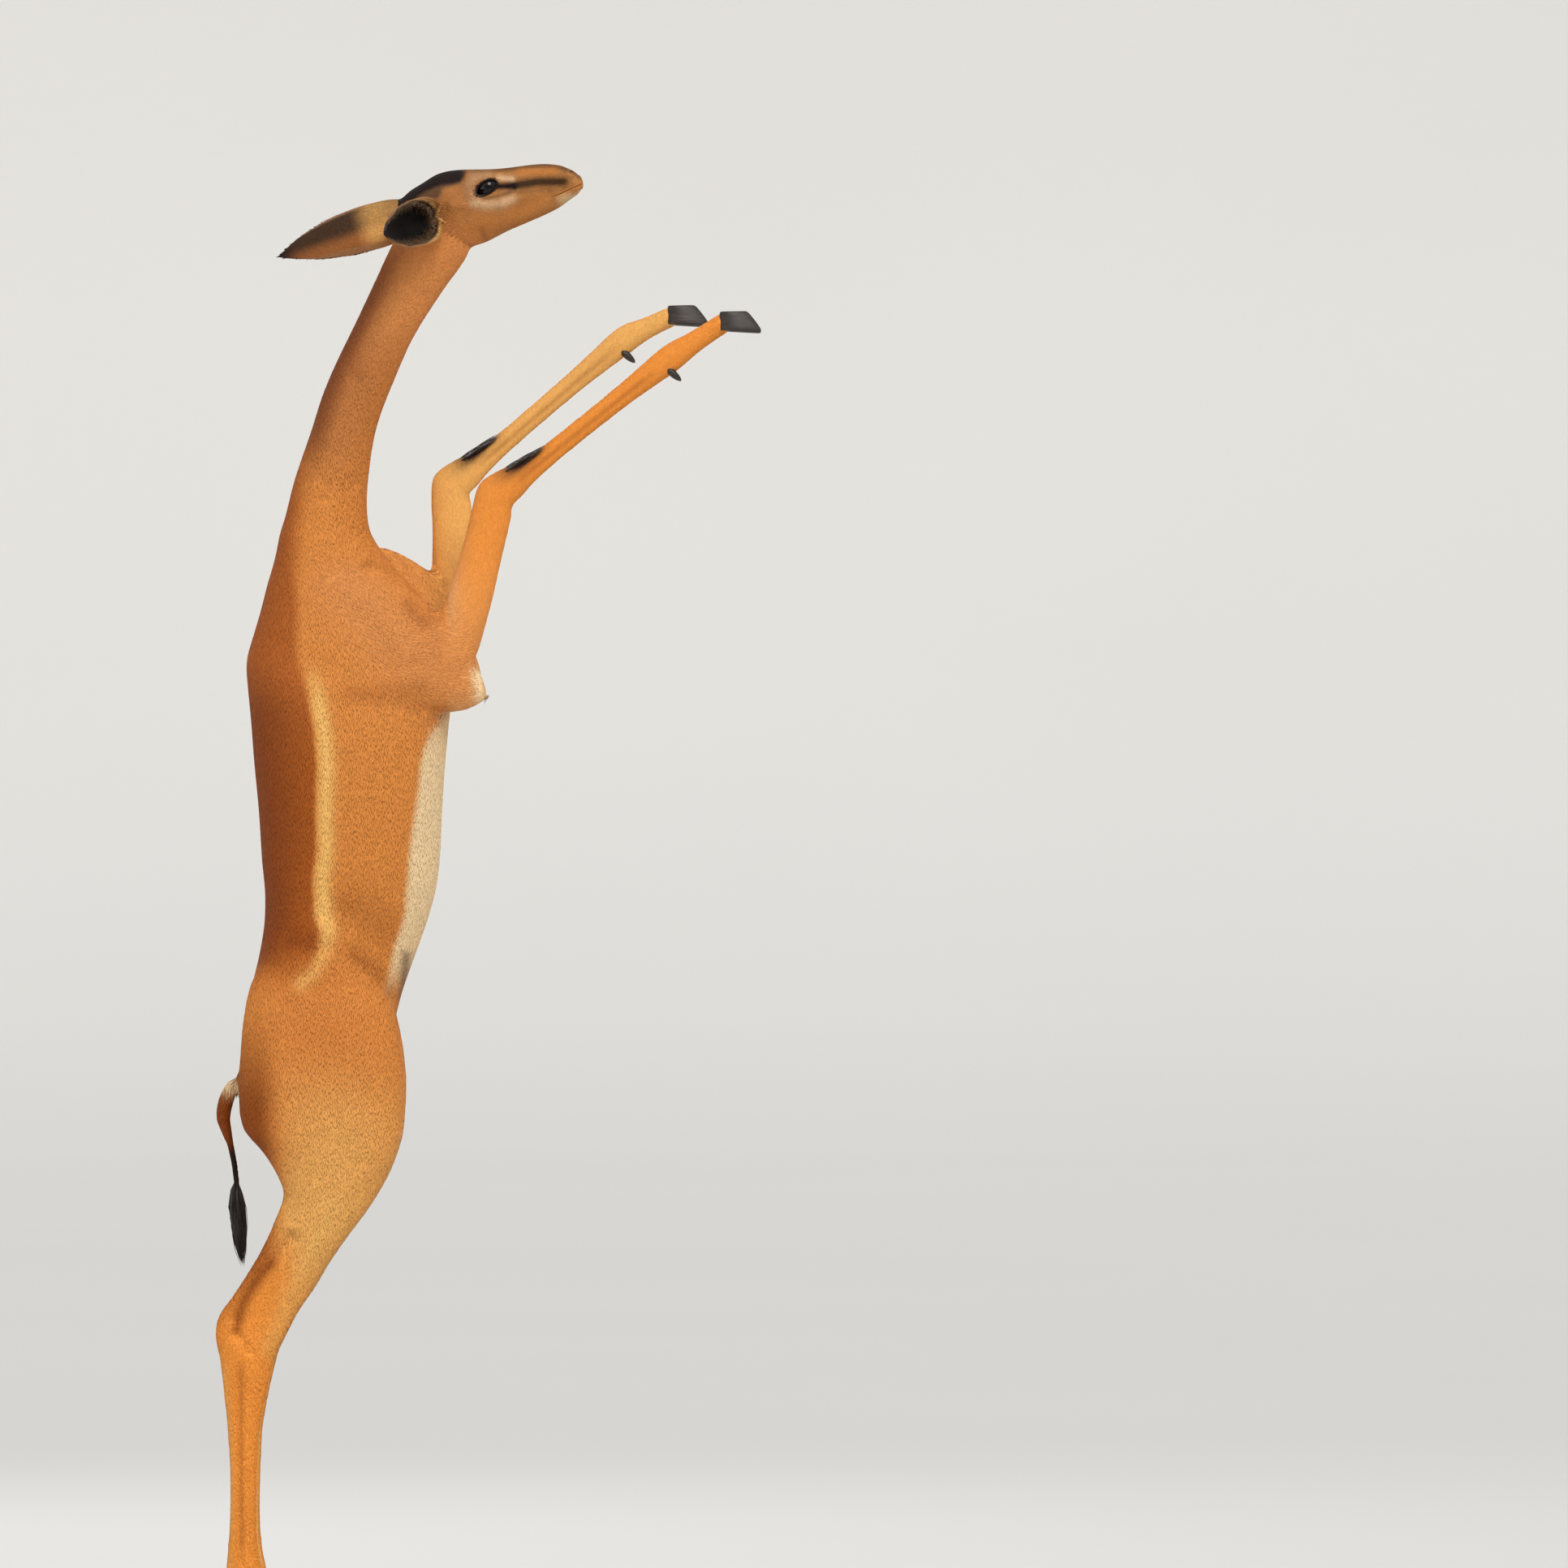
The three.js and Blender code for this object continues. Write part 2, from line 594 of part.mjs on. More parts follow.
// A dewclaw: a short blunt horn from the back of the fetlock.
function dewclawSolid(root, direction) {
  const across = vector(0, 1, 0);
  const level = direction.clone().cross(across);
  const shape = [
    [-0.35, 0.9],
    [0.25, 1],
    [0.7, 0.72],
  ];
  const rings = shape.map(([place, scale]) => {
    const ring = [];
    for (let j = 0; j < 6; j += 1) {
      const angle = (2 * Math.PI * j) / 6;
      const point = root.clone().addScaledVector(direction, place * DEWCLAW.length);
      point.addScaledVector(across, Math.cos(angle) * DEWCLAW.radius * scale);
      ring.push(point.addScaledVector(level, Math.sin(angle) * DEWCLAW.radius * 0.75 * scale));
    }
    return ring;
  });
  const first = middleOf(rings[0]);
  return solidThroughRings(rings, first, root.clone().addScaledVector(direction, DEWCLAW.length));
}

// A flat tapered lock of hair that bends towards a way it hangs.
function lockSolid(root, direction, flat, sizes) {
  const { length, width, thickness, bend } = sizes;
  const rings = [];
  const heading = direction.clone().normalize();
  const point = root.clone();
  const profile = [0.7, 1, 0.9, 0.6, 0.3];
  for (const scale of profile) {
    const side = flat.clone().cross(heading).normalize();
    const face = heading.clone().cross(side).normalize();
    const w = (width / 2) * scale;
    const h = (thickness / 2) * scale;
    rings.push([
      point.clone().addScaledVector(side, w),
      point.clone().addScaledVector(face, h),
      point.clone().addScaledVector(side, -w),
      point.clone().addScaledVector(face, -h),
    ]);
    point.addScaledVector(heading, length / profile.length);
    heading.addScaledVector(bend, 1 / profile.length).normalize();
  }
  return solidThroughRings(rings, middleOf(rings[0]), point);
}

// The tuft: a short core with locks that spring from the tail's end and hang to the tip.
function tuftSolid() {
  const random = seeded(11);
  const root = vector(-8, 0, 648);
  const core = [
    [root.x - 3.6, 660, root.x + 3.6, 660, 3.4, 2, 0],
    [root.x - 7, 632, root.x + 7, 632, 6.5, 2, 0],
    [root.x - 9, 608, root.x + 8, 608, 7, 2, 0],
    [root.x - 5, 588, root.x + 6, 588, 5, 2, 0],
  ];
  let tuft = bodyOf(sectionsFromTable(core, 0), { sides: 10, dome: [0, 8] });
  for (let i = 0; i < TUFT.locks; i += 1) {
    const turn = i * 2.4;
    const row = i / TUFT.locks;
    const out = vector(Math.cos(turn), Math.sin(turn), 0);
    const start = vector(root.x, 0, 640 - 46 * row).addScaledVector(out, 2.5 + 2 * Math.sin(Math.PI * row));
    const heading = out.clone().multiplyScalar(0.34 - 0.2 * row).add(vector(0.04, 0, -1));
    const bend = out.clone().multiplyScalar(-0.4 + 0.26 * row).add(vector(0.14, 0, -0.2));
    const length = TUFT.length * (0.66 + 0.12 * random());
    const width = TUFT.width * (0.85 + 0.3 * random());
    tuft = tuft.add(lockSolid(start, heading, out, { length, width, thickness: TUFT.thickness, bend }));
  }
  return largestOf(tuft);
}

// The brush of long hair on the front of the knee, lying down along the cannon.
function brushLocks(sections, seed) {
  const random = seeded(seed);
  const [knee, , brushEnd, below] = sections.slice(FORE_CUTS.cannon[0]);
  const along = below.front.clone().sub(knee.front).normalize();
  const frontward = knee.front.clone().sub(knee.back).normalize();
  const locks = [];
  for (let i = 0; i < BRUSH.locks; i += 1) {
    const spread = (i % 3) - 1;
    const row = Math.floor(i / 3) / 3;
    const root = knee.front.clone().lerp(brushEnd.front, 0.5 + 0.75 * row);
    root.addScaledVector(frontward, -3);
    root.y += spread * 8 * (1 - 0.2 * row);
    const flat = frontward.clone().add(vector(0, spread * 0.5, 0)).normalize();
    const heading = along.clone().addScaledVector(frontward, 0.32).add(vector(0, spread * 0.12, 0));
    const bend = frontward.clone().multiplyScalar(-0.3).add(vector(0, -spread * 0.15, 0));
    const length = BRUSH.length * (0.85 + 0.3 * random());
    const width = BRUSH.width * (0.9 + 0.25 * random());
    locks.push(lockSolid(root, heading, flat, { length, width, thickness: BRUSH.thickness, bend }));
  }
  return locks;
}

function baseSolid() {
  const { back, front, halfWidth, thickness, corner, bevel } = BASE;
  const shape = new THREE.Shape();
  const [x0, x1, y1, r] = [back + bevel, front - bevel, halfWidth - bevel, corner - bevel];
  shape.moveTo(x0 + r, -y1);
  shape.lineTo(x1 - r, -y1);
  shape.absarc(x1 - r, -y1 + r, r, -Math.PI / 2, 0);
  shape.absarc(x1 - r, y1 - r, r, 0, Math.PI / 2);
  shape.absarc(x0 + r, y1 - r, r, Math.PI / 2, Math.PI);
  shape.absarc(x0 + r, -y1 + r, r, Math.PI, Math.PI * 1.5);
  const settings = { bevelEnabled: true, bevelSize: bevel, bevelThickness: bevel, bevelSegments: 1 };
  const geometry = new THREE.ExtrudeGeometry(shape, {
    depth: thickness - 2 * bevel,
    curveSegments: 4,
    ...settings,
  });
  geometry.translate(0, 0, bevel);
  return solidFromGeometry(geometry);
}

const group = new THREE.Group();

function addPiece(name, solid, finish) {
  const mesh = solid.getMesh();
  const geometry = new THREE.BufferGeometry();
  geometry.setAttribute("position", new THREE.BufferAttribute(new Float32Array(mesh.vertProperties), 3));
  geometry.setIndex(new THREE.BufferAttribute(new Uint32Array(mesh.triVerts), 1));
  geometry.computeVertexNormals();
  const piece = new THREE.Mesh(geometry, new THREE.MeshStandardMaterial(finish));
  piece.name = name;
  group.add(piece);
}

// Solids that others are cut clear of, grown by the gap.
const wideTorso = torsoSolid(GAP);
const wideNeck = neckSolid(GAP);
const wideHead = headSolid(GAP);

let torso = torsoSolid(0);
const neck = without(neckSolid(0), wideHead);
const head = finishedHead();

const legOptions = { steps: 1, sides: 14 };

for (const [name, side] of [["right", RIGHT], ["left", LEFT]]) {
  const sections = sectionsFromTable(HIND_LEG, side);
  const options = { ...legOptions, forms: LEG_FORMS };
  const haunch = { steps: 2, dome: [10, 0] };
  const thigh = bodyOf(sections, { ...options, cut: HIND_CUTS.thigh, ...haunch });
  torso = torso.subtract(bodyOf(sections, { ...options, cut: HIND_CUTS.thigh, ...haunch, grow: GAP }));
  addPiece(`thigh_${name}`, thigh, FINISH.coat);
  addPiece(`shank_${name}`, bodyOf(sections, { ...options, steps: 2, cut: HIND_CUTS.shank }), FINISH.leg);
  const cannon = bodyOf(sections, { ...options, cut: HIND_CUTS.cannon });
  const pastern = bodyOf(sections, { ...options, cut: HIND_CUTS.pastern });
  addPiece(`hind_cannon_${name}`, cannon, FINISH.leg);
  addPiece(`hind_pastern_${name}`, pastern, FINISH.leg);
  const widePastern = bodyOf(sections, { ...options, cut: HIND_CUTS.pastern, grow: GAP });
  const wideCannon = bodyOf(sections, { ...options, cut: HIND_CUTS.cannon, grow: GAP });
  const coronet = sections[HIND_CUTS.pastern[1]];
  const foot = {
    at: vector(coronet.front.x - 2, coronet.front.y, FLOOR),
    forward: vector(1, 0, 0),
    up: vector(0, 0, 1),
    rise: CLAW.rise,
  };
  for (const [where, place] of [["inner", -1], ["outer", 1]]) {
    const claw = without(clawSolid(foot, side, place), widePastern);
    addPiece(`hind_claw_${name}_${where}`, claw, FINISH.hoof);
    const root = sections[HIND_CUTS.pastern[0]].back.clone().add(vector(4, place * side * 9, -4));
    const dewclaw = without(dewclawSolid(root, vector(-0.45, 0, -0.9)), widePastern, wideCannon);
    addPiece(`hind_dewclaw_${name}_${where}`, dewclaw, FINISH.hoof);
  }
}

const shoulderOptions = { steps: 2, sides: 14, dome: [6, 12] };

for (const [name, side] of [["right", RIGHT], ["left", LEFT]]) {
  const shoulder = shoulderSections(side);
  const arm = bodyOf(shoulder, { ...legOptions, ...shoulderOptions });
  const wideArm = bodyOf(shoulder, { ...legOptions, ...shoulderOptions, grow: GAP });
  torso = torso.subtract(wideArm);
  addPiece(`upper_arm_${name}`, arm, FINISH.coat);
  const sections = forelegSections(FORE_BONES[name], side);
  const forearm = bodyOf(sections, { ...legOptions, cut: FORE_CUTS.forearm, dome: [10, 0] });
  addPiece(`forearm_${name}`, without(forearm, wideArm, wideTorso), FINISH.leg);
  let cannon = bodyOf(sections, { ...legOptions, cut: FORE_CUTS.cannon });
  for (const lock of brushLocks(sections, 5 + side)) cannon = cannon.add(lock);
  const wideForearm = bodyOf(sections, { ...legOptions, cut: FORE_CUTS.forearm, dome: [10, 0], grow: GAP });
  addPiece(`fore_cannon_${name}`, without(cannon, wideForearm), FINISH.leg);
  addPiece(`fore_pastern_${name}`, bodyOf(sections, { ...legOptions, cut: FORE_CUTS.pastern }), FINISH.leg);
  const widePastern = bodyOf(sections, { ...legOptions, cut: FORE_CUTS.pastern, grow: GAP });
  const wideCannon = bodyOf(sections, { ...legOptions, cut: FORE_CUTS.cannon, grow: GAP });
  const [x, y, z] = FORE_BONES[name].coffin;
  const forward = vector(1, 0, -0.06).normalize();
  const up = vector(0.06, 0, 1).normalize();
  const foot = { at: vector(x + 19, side * y, z - 13), forward, up, rise: CLAW.foreRise };
  for (const [where, place] of [["inner", -1], ["outer", 1]]) {
    const claw = without(clawSolid(foot, side, place), widePastern);
    addPiece(`fore_claw_${name}_${where}`, claw, FINISH.hoof);
    const root = sections[FORE_CUTS.pastern[0]].back.clone().add(vector(-2, place * side * 8, 2));
    const dewclaw = without(dewclawSolid(root, vector(0.75, 0, -0.66)), widePastern, wideCannon);
    addPiece(`fore_dewclaw_${name}_${where}`, dewclaw, FINISH.hoof);
  }
}

const ears = {
  right: [vector(243, -27, 1897), vector(188, -214, 1868), vector(1, 0, 0.3)],
  left: [vector(228, 27, 1911), vector(44, 58, 1850), vector(-0.1, 1, -0.25)],
};
for (const [name, [base, tip, opening]] of Object.entries(ears)) {
  const ear = without(earSolid(base, tip, opening), wideHead, wideNeck);
  addPiece(`ear_${name}`, ear, FINISH.ear);
}

addPiece("eye_right", eyeball(RIGHT, EYE.radius), FINISH.eye);
addPiece("eye_left", eyeball(LEFT, EYE.radius), FINISH.eye);

const tailSections = TAIL.map(([x, z, half], i) => {
  const next = TAIL[Math.min(i + 1, TAIL.length - 1)];
  const before = TAIL[Math.max(i - 1, 0)];
  const along = vector(next[0] - before[0], 0, next[1] - before[1]).normalize();
  const across = vector(-along.z, 0, along.x);
  const back = vector(x, 0, z).addScaledVector(across, -half);
  const front = vector(x, 0, z).addScaledVector(across, half);
  return section(back, front, half, 2, 0);
});
const tailOptions = { steps: 2, sides: 10 };
const tuft = tuftSolid();
const tail = without(bodyOf(tailSections, tailOptions), wideTorso);
const wideTail = bodyOf(tailSections, { ...tailOptions, grow: GAP });

addPiece("torso", largestOf(torso), FINISH.saddle);
addPiece("neck", neck, FINISH.coat);
addPiece("head", head, FINISH.face);
addPiece("tail", tail, FINISH.coat);
addPiece("tail_tuft", without(tuft, wideTail), FINISH.dark);
addPiece("stand_base", baseSolid(), FINISH.base);

// The box of the whole is centred over the origin and rests on z = 0.
const box = new THREE.Box3().setFromObject(group);
const middle = box.getCenter(vector(0, 0, 0));
group.children.forEach((piece) => piece.position.set(-middle.x, -middle.y, -box.min.z));

export default group;
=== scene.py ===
"""The looks of a gerenuk hen that stands upright to browse: skin, coat, eyes, hooves, base and studio."""
import math

import bmesh
import bpy
import numpy as np
from mathutils import Matrix, Vector
from mathutils.bvhtree import BVHTree


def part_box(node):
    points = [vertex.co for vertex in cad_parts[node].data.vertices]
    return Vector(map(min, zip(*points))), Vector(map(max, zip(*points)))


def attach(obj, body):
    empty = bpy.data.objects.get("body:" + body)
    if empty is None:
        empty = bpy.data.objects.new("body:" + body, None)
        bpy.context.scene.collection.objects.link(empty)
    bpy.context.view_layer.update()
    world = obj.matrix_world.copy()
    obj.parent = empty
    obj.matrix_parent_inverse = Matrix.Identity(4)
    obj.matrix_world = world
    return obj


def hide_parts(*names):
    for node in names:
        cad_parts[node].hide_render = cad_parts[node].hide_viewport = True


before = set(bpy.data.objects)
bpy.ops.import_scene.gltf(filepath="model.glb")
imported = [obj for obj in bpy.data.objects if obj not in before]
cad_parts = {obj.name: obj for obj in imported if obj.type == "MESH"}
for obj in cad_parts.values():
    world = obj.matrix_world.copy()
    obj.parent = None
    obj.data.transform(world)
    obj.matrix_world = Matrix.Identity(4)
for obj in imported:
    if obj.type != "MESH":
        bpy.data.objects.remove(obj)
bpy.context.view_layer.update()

bl_info = {
    "name": "Browsing gerenuk",
    "version": (1, 0, 0),
    "blender": (4, 5, 0),
    "location": "3D View > Sidebar > Gerenuk",
    "description": "Builds the coat, eyes, hooves and studio round a packed gerenuk",
    "category": "Add Mesh",
}

# Lengths are millimetres in the animal's own frame until a mesh is made: x ahead, y to her left, z up.
MM = 0.001
RIGHT = -1
LEFT = 1
LIMB_SQUARENESS = 2.1
BASE = {"back": -215, "front": 440, "half_width": 215, "thickness": 25, "corner": 60, "bevel": 4}
FLOOR = BASE["thickness"] + 0.3
HEAD_TILT = math.radians(12)
EYE = {"x": 316, "z": 1935, "y": 25.5, "radius": 17.5, "lid": 1.7, "length": 29, "height": 15, "tilt": 31}
EAR = {"length": 196, "width": 60, "bend": 6, "seat": 0.55}
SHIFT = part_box("stand_base")[0].x / MM - BASE["back"]

# Sections of the body seen from the side, each a line from a back point to a front point.
# Columns: back x, back z, front x, front z, half width, squareness, egg (wider in front when positive).
TRUNK = [
    [40, 706, 90, 706, 40, 2, 0],
    [8, 727, 114, 724, 58, 2.1, 0],
    [-4, 752, 142, 750, 70, 2.2, -0.05],
    [-8, 779, 162, 776, 77, 2.3, -0.08],
    [-2, 815, 181, 814, 81, 2.3, -0.1],
    [4, 857, 195, 857, 83, 2.3, -0.12],
    [10, 899, 206, 899, 84, 2.3, -0.12],
    [20, 941, 221, 941, 84, 2.3, -0.1],
    [27, 983, 236, 983, 86, 2.2, -0.05],
    [28, 1025, 248, 1025, 90, 2.2, 0],
    [24, 1067, 254, 1067, 95, 2.2, 0.04],
    [20, 1130, 257, 1130, 101, 2.2, 0.06],
    [14, 1193, 261, 1193, 103, 2.2, 0.06],
    [10, 1245, 266, 1245, 102, 2.15, 0.04],
    [6, 1287, 270, 1287, 98, 2.1, 0],
    [4, 1324, 268, 1322, 93, 2.05, -0.02],
    [14, 1361, 262, 1355, 87, 2, -0.04],
    [23, 1392, 248, 1384, 80, 2, -0.05],
    [31, 1424, 224, 1414, 71, 2, -0.05],
    [38, 1447, 202, 1438, 64, 2, -0.04],
    [43, 1468, 183, 1461, 58, 2, -0.02],
    [47, 1489, 169, 1482, 52, 2, 0],
    [55, 1515, 162, 1500, 46, 2, 0],
    [66, 1559, 160, 1539, 40, 2, 0],
    [88, 1624, 167, 1601, 35.5, 2, 0],
    [102, 1668, 177, 1641, 33.5, 2, 0],
    [120, 1711, 193, 1682, 32.5, 2, 0],
    [152, 1777, 220, 1743, 31.5, 2, 0],
    [184, 1846, 258, 1803, 32, 2, 0],
    [201, 1878, 280, 1833, 33.5, 2, 0],
    [224, 1904, 297, 1861, 32, 2, 0],
]

# The head along its own axis. Columns: ahead of the eye, top, bottom, half width, squareness, egg.
HEAD = [
    [-110, 12, -34, 24, 2, 0.1],
    [-98, 19, -48, 32, 2.1, 0.1],
    [-80, 25.5, -59, 37, 2.2, 0.12],
    [-62, 32, -65.5, 39.5, 2.2, 0.14],
    [-46, 33.5, -68.5, 41, 2.2, 0.17],
    [-30, 32, -68.4, 41.5, 2.2, 0.2],
    [-15, 29.3, -66.5, 41.5, 2.2, 0.23],
    [0, 26.3, -62.5, 40, 2.2, 0.25],
    [15, 23.6, -58.5, 36.5, 2.2, 0.24],
    [30, 21.8, -55.5, 31.5, 2.2, 0.2],
    [45, 20.6, -52.5, 27.5, 2.3, 0.14],
    [60, 19.4, -49.5, 24, 2.3, 0.08],
    [75, 17.4, -46, 21.5, 2.3, 0.02],
    [88, 14.2, -42, 20, 2.3, 0],
    [99, 10, -37, 19, 2.3, -0.02],
    [108, 4, -33, 17.5, 2.3, 0],
    [114, -0.5, -30, 15.5, 2.3, 0],
    [118.5, -6, -26, 12.5, 2.3, 0],
]
MOUTH = {"corner": (74, -29), "middle": (98, -25.5), "front": (126, -17.5)}
NOSTRIL = {"ahead": 113.5, "up": -0.5, "y": 8.5}

# Columns: lower x, lower z, upper x, upper z, distance from the middle, half width, lean in of the top.
SHOULDER = [
    [52, 1287, 56, 1372, 66, 7, 12],
    [105, 1271, 105, 1425, 79, 14, 24],
    [163, 1264, 158, 1444, 76, 22, 26],
    [210, 1259, 200, 1429, 70, 28, 20],
    [247, 1256, 231, 1405, 66, 30, 12],
    [277, 1258, 257, 1378, 65, 29, 6],
    [299, 1264, 279, 1350, 66, 25, 2],
    [311, 1272, 298, 1322, 68, 18, 0],
]
# How far the left arm is moved from the right one, at its blade and at its elbow, from the given row on.
LEFT_ARM_SHIFT = {"blade": (14, 29), "elbow": (-7, 27), "bends_from": 4}
FORE_BONES = {
    RIGHT: {
        "elbow": (272, 68, 1310),
        "carpus": (328, 72, 1535),
        "fetlock": (556, 66, 1718),
        "coffin": (624, 63, 1761),
    },
    LEFT: {
        "elbow": (273, 68, 1337),
        "carpus": (267, 72, 1550),
        "fetlock": (495, 66, 1746),
        "coffin": (556, 63, 1773),
    },
}
# Flesh round the foreleg's bones: bone, place along it, reach in front, behind and to each side.
FORE_FLESH = [
    [0, -0.06, 24, 16, 20],
    [0, 0.04, 33, 22, 27],
    [0, 0.16, 35, 26, 27.5],
    [0, 0.3, 33, 27, 26],
    [0, 0.46, 29.5, 27.5, 23.5],
    [0, 0.62, 27, 26.5, 21],
    [0, 0.78, 26, 26, 19],
    [0, 0.91, 26.5, 25.5, 19],
    [1, 0.01, 28, 23, 20],
    [1, 0.09, 24, 20, 18.5],
    [1, 0.17, 17.5, 16, 14.5],
    [1, 0.3, 13.5, 13.5, 12],
    [1, 0.5, 13, 13, 11.5],
    [1, 0.7, 13.6, 13.8, 12],
    [1, 0.85, 15, 16.2, 14],
    [1, 0.95, 16.6, 18.5, 16.5],
    [2, 0.08, 16, 18, 17],
    [2, 0.32, 14, 15, 15.5],
    [2, 0.62, 13, 13, 15],
    [2, 0.86, 13, 12.5, 16.5],
    [2, 1.0, 12.8, 12, 17.5],
]
KNEE_ROW = 8
FORE_FETLOCK_ROW = 15

# Columns: back x, back z, front x, front z, distance from the middle, half width.
HIND_LEG = [
    [26, 935, 150, 955, 44, 26],
    [10, 904, 178, 925, 47, 38],
    [1, 857, 198, 862, 52, 46],
    [-3, 804, 208, 804, 54, 49],
    [-4, 762, 209, 757, 55, 48],
    [1, 722, 206, 715, 57, 44],
    [26, 692, 196, 680, 59, 39],
    [44, 664, 181, 647, 61, 34],
    [54, 636, 160, 613, 62, 29.5],
    [44, 607, 134, 578, 63, 25.5],
    [34, 583, 111, 545, 63, 22],
    [19, 554, 91, 511, 62.5, 19.5],
    [3, 528, 70, 481, 62, 17.5],
    [-14, 502, 55, 452, 61.5, 17],
    [-29, 481, 45, 432, 61, 18],
    [-34, 455, 40, 416, 61, 19],
    [-28, 424, 35, 396, 61.5, 18.5],
    [-23, 382, 29, 368, 62, 15.5],
    [-18, 332, 22, 325, 62.5, 13.8],
    [-15, 279, 20, 276, 63, 13],
    [-15, 227, 19, 225, 63.5, 13],
    [-17, 185, 21, 181, 64, 14],
    [-20, 150, 27, 148, 64.5, 16.5],
    [-21, 124, 32, 126, 65, 18],
    [-14, 99, 38, 108, 65, 16.5],
    [0, 74, 46, 86, 65.5, 17],
    [11, 47, 56, 61, 66, 19],
]
HIND_FETLOCK_ROW = 23
# The tail: x, z, half thickness.
TAIL = [
    [14, 786, 9],
    [2, 782, 9],
    [-12, 774, 10],
    [-22, 756, 10],
    [-26, 735, 9],
    [-22, 717, 6.5],
    [-17, 699, 3.6],
    [-12, 675, 3],
    [-9, 650, 2.8],
    [-8, 630, 2.4],
]
SIDES = {RIGHT: "right", LEFT: "left"}
# Ears: base, tip, and the way the cup opens.
EARS = {
    RIGHT: ((243, -27, 1897), (188, -214, 1868), (1, 0, 0.3)),
    LEFT: ((228, 27, 1911), (44, 58, 1850), (-0.1, 1, -0.25)),
}
# The ear's make: place along it, width, turn of its edge round the axis, wall as a part of the radius.
EAR_PROFILE = [
    [0, 0.5, 2.4, 0.9],
    [0.1, 0.7, 2.3, 0.75],
    [0.2, 0.9, 2, 0.4],
    [0.34, 1, 1.65, 0.1],
    [0.5, 0.98, 1.4, 0.085],
    [0.65, 0.84, 1.3, 0.085],
    [0.8, 0.58, 1.2, 0.11],
    [0.93, 0.25, 1.15, 0.2],
    [1, 0.03, 1.1, 0.3],
]

# Ridges (push out) and hollows (push in) of the flesh: a run of side-view points, its reach and its push.
BODY_FORMS = [
    ([(105, 983), (115, 951), (100, 930), (74, 904)], 16, 2.4),
    ([(62, 968), (84, 966)], 17, -3),
    ([(118, 960), (147, 941), (180, 920)], 13, -2.5),
    ([(150, 1005), (185, 945)], 34, -6),
    ([(105, 825), (147, 773)], 24, -1.8),
    ([(40, 800), (60, 720)], 32, 3),
    ([(150, 730), (185, 690)], 22, 3),
    ([(163, 668), (105, 615)], 12, 1.8),
    ([(63, 584), (37, 547), (10, 510), (-7, 479)], 9, -6.5),
    ([(-4, 458), (10, 437)], 7, -3),
    ([(61, 573), (61, 500)], 5, -1.6),
    ([(37, 431), (26, 384)], 4, -1.5),
    ([(118, 1425), (160, 1400), (215, 1335)], 13, 3),
    ([(60, 1330), (130, 1312), (240, 1318)], 24, -2),
    ([(163, 1450), (189, 1434), (215, 1418), (231, 1397), (252, 1376)], 8, -4),
    ([(150, 1272), (273, 1262)], 16, -1.5),
    ([(136, 1550), (136, 1487)], 16, -2),
    ([(150, 1560), (190, 1700), (240, 1800)], 8, -2),
    ([(105, 1540), (150, 1690)], 10, -2),
    ([(120, 1140), (150, 1230)], 70, 3),
]
# The same on the head: ahead of the eye and above it.
HEAD_FORMS = [
    ([(-20, 12), (-2, 16.5), (14, 13)], 8, 4.5),
    ([(-22, -6), (-8, -17), (14, -15)], 6, 2.2),
    ([(-48, -14), (-20, -19), (16, -24)], 6.5, 2.4),
    ([(-36, 8), (-28, 2)], 13, -3.5),
    ([(-38, -46), (-22, -36)], 20, 3),
    ([(16, -23), (58, -19)], 7, 1.8),
    ([(34, -37), (76, -33)], 10, -2.2),
    ([(17, -2), (34, -5)], 3.4, -3.4),
    ([(15, 4), (36, 2)], 4, 1.2),
    ([(18, -9), (38, -11)], 4, 1.2),
    ([(40, 6), (80, 0)], 9, -1.5),
    ([(104, 4), (113, -2)], 6, 1.8),
    ([(84, -20), (110, -16)], 5, 1.6),
    ([(86, -33), (108, -27)], 4.5, 1.4),
    ([(88, -39), (100, -36)], 7, 1),
]


def unit(vectors):
    return vectors / np.maximum(np.linalg.norm(vectors, axis=-1, keepdims=True), 1e-12)


def signed_power(values, power):
    return np.sign(values) * np.abs(values) ** power


def smoothstep(low, high, values):
    t = np.clip((values - low) / (high - low), 0, 1)
    return t * t * (3 - 2 * t)


def run_distance(points, run):
    """Distance of flat points to a run of straight lines."""
    nearest = np.full(points.shape[:-1], 1e9)
    for start, end in zip(run, run[1:]):
        start = np.array(start, float)
        line = np.array(end, float) - start
        along = np.clip(((points - start) @ line) / (line @ line), 0, 1)
        away = np.linalg.norm(points - start - along[..., None] * line, axis=-1)
        nearest = np.minimum(nearest, away)
    return nearest


def form_push(forms, flat):
    push = np.zeros(flat.shape[:-1])
    for run, reach, amount in forms:
        push += amount * np.exp(-(run_distance(flat, run) / reach) ** 2)
    return push


def side_view(points):
    return points[..., [0, 2]]


def head_axes():
    ahead = np.array([math.cos(HEAD_TILT), 0, math.sin(HEAD_TILT)])
    up = np.array([-math.sin(HEAD_TILT), 0, math.cos(HEAD_TILT)])
    return ahead, up


def head_view(points):
    """How far ahead of the eye and above it, along the head's own axis."""
    ahead, up = head_axes()
    away = points - np.array([EYE["x"], 0, EYE["z"]])
    return np.stack([away @ ahead, away @ up], -1)


def head_place(ahead_by, up_by, y):
    ahead, up = head_axes()
    return np.array([EYE["x"], y, EYE["z"]]) + ahead * ahead_by + up * up_by


def to_frame(points):
    return (np.asarray(points) + np.array([SHIFT, 0, 0])) * MM


def from_frame(points):
    return np.asarray(points) / MM - np.array([SHIFT, 0, 0])


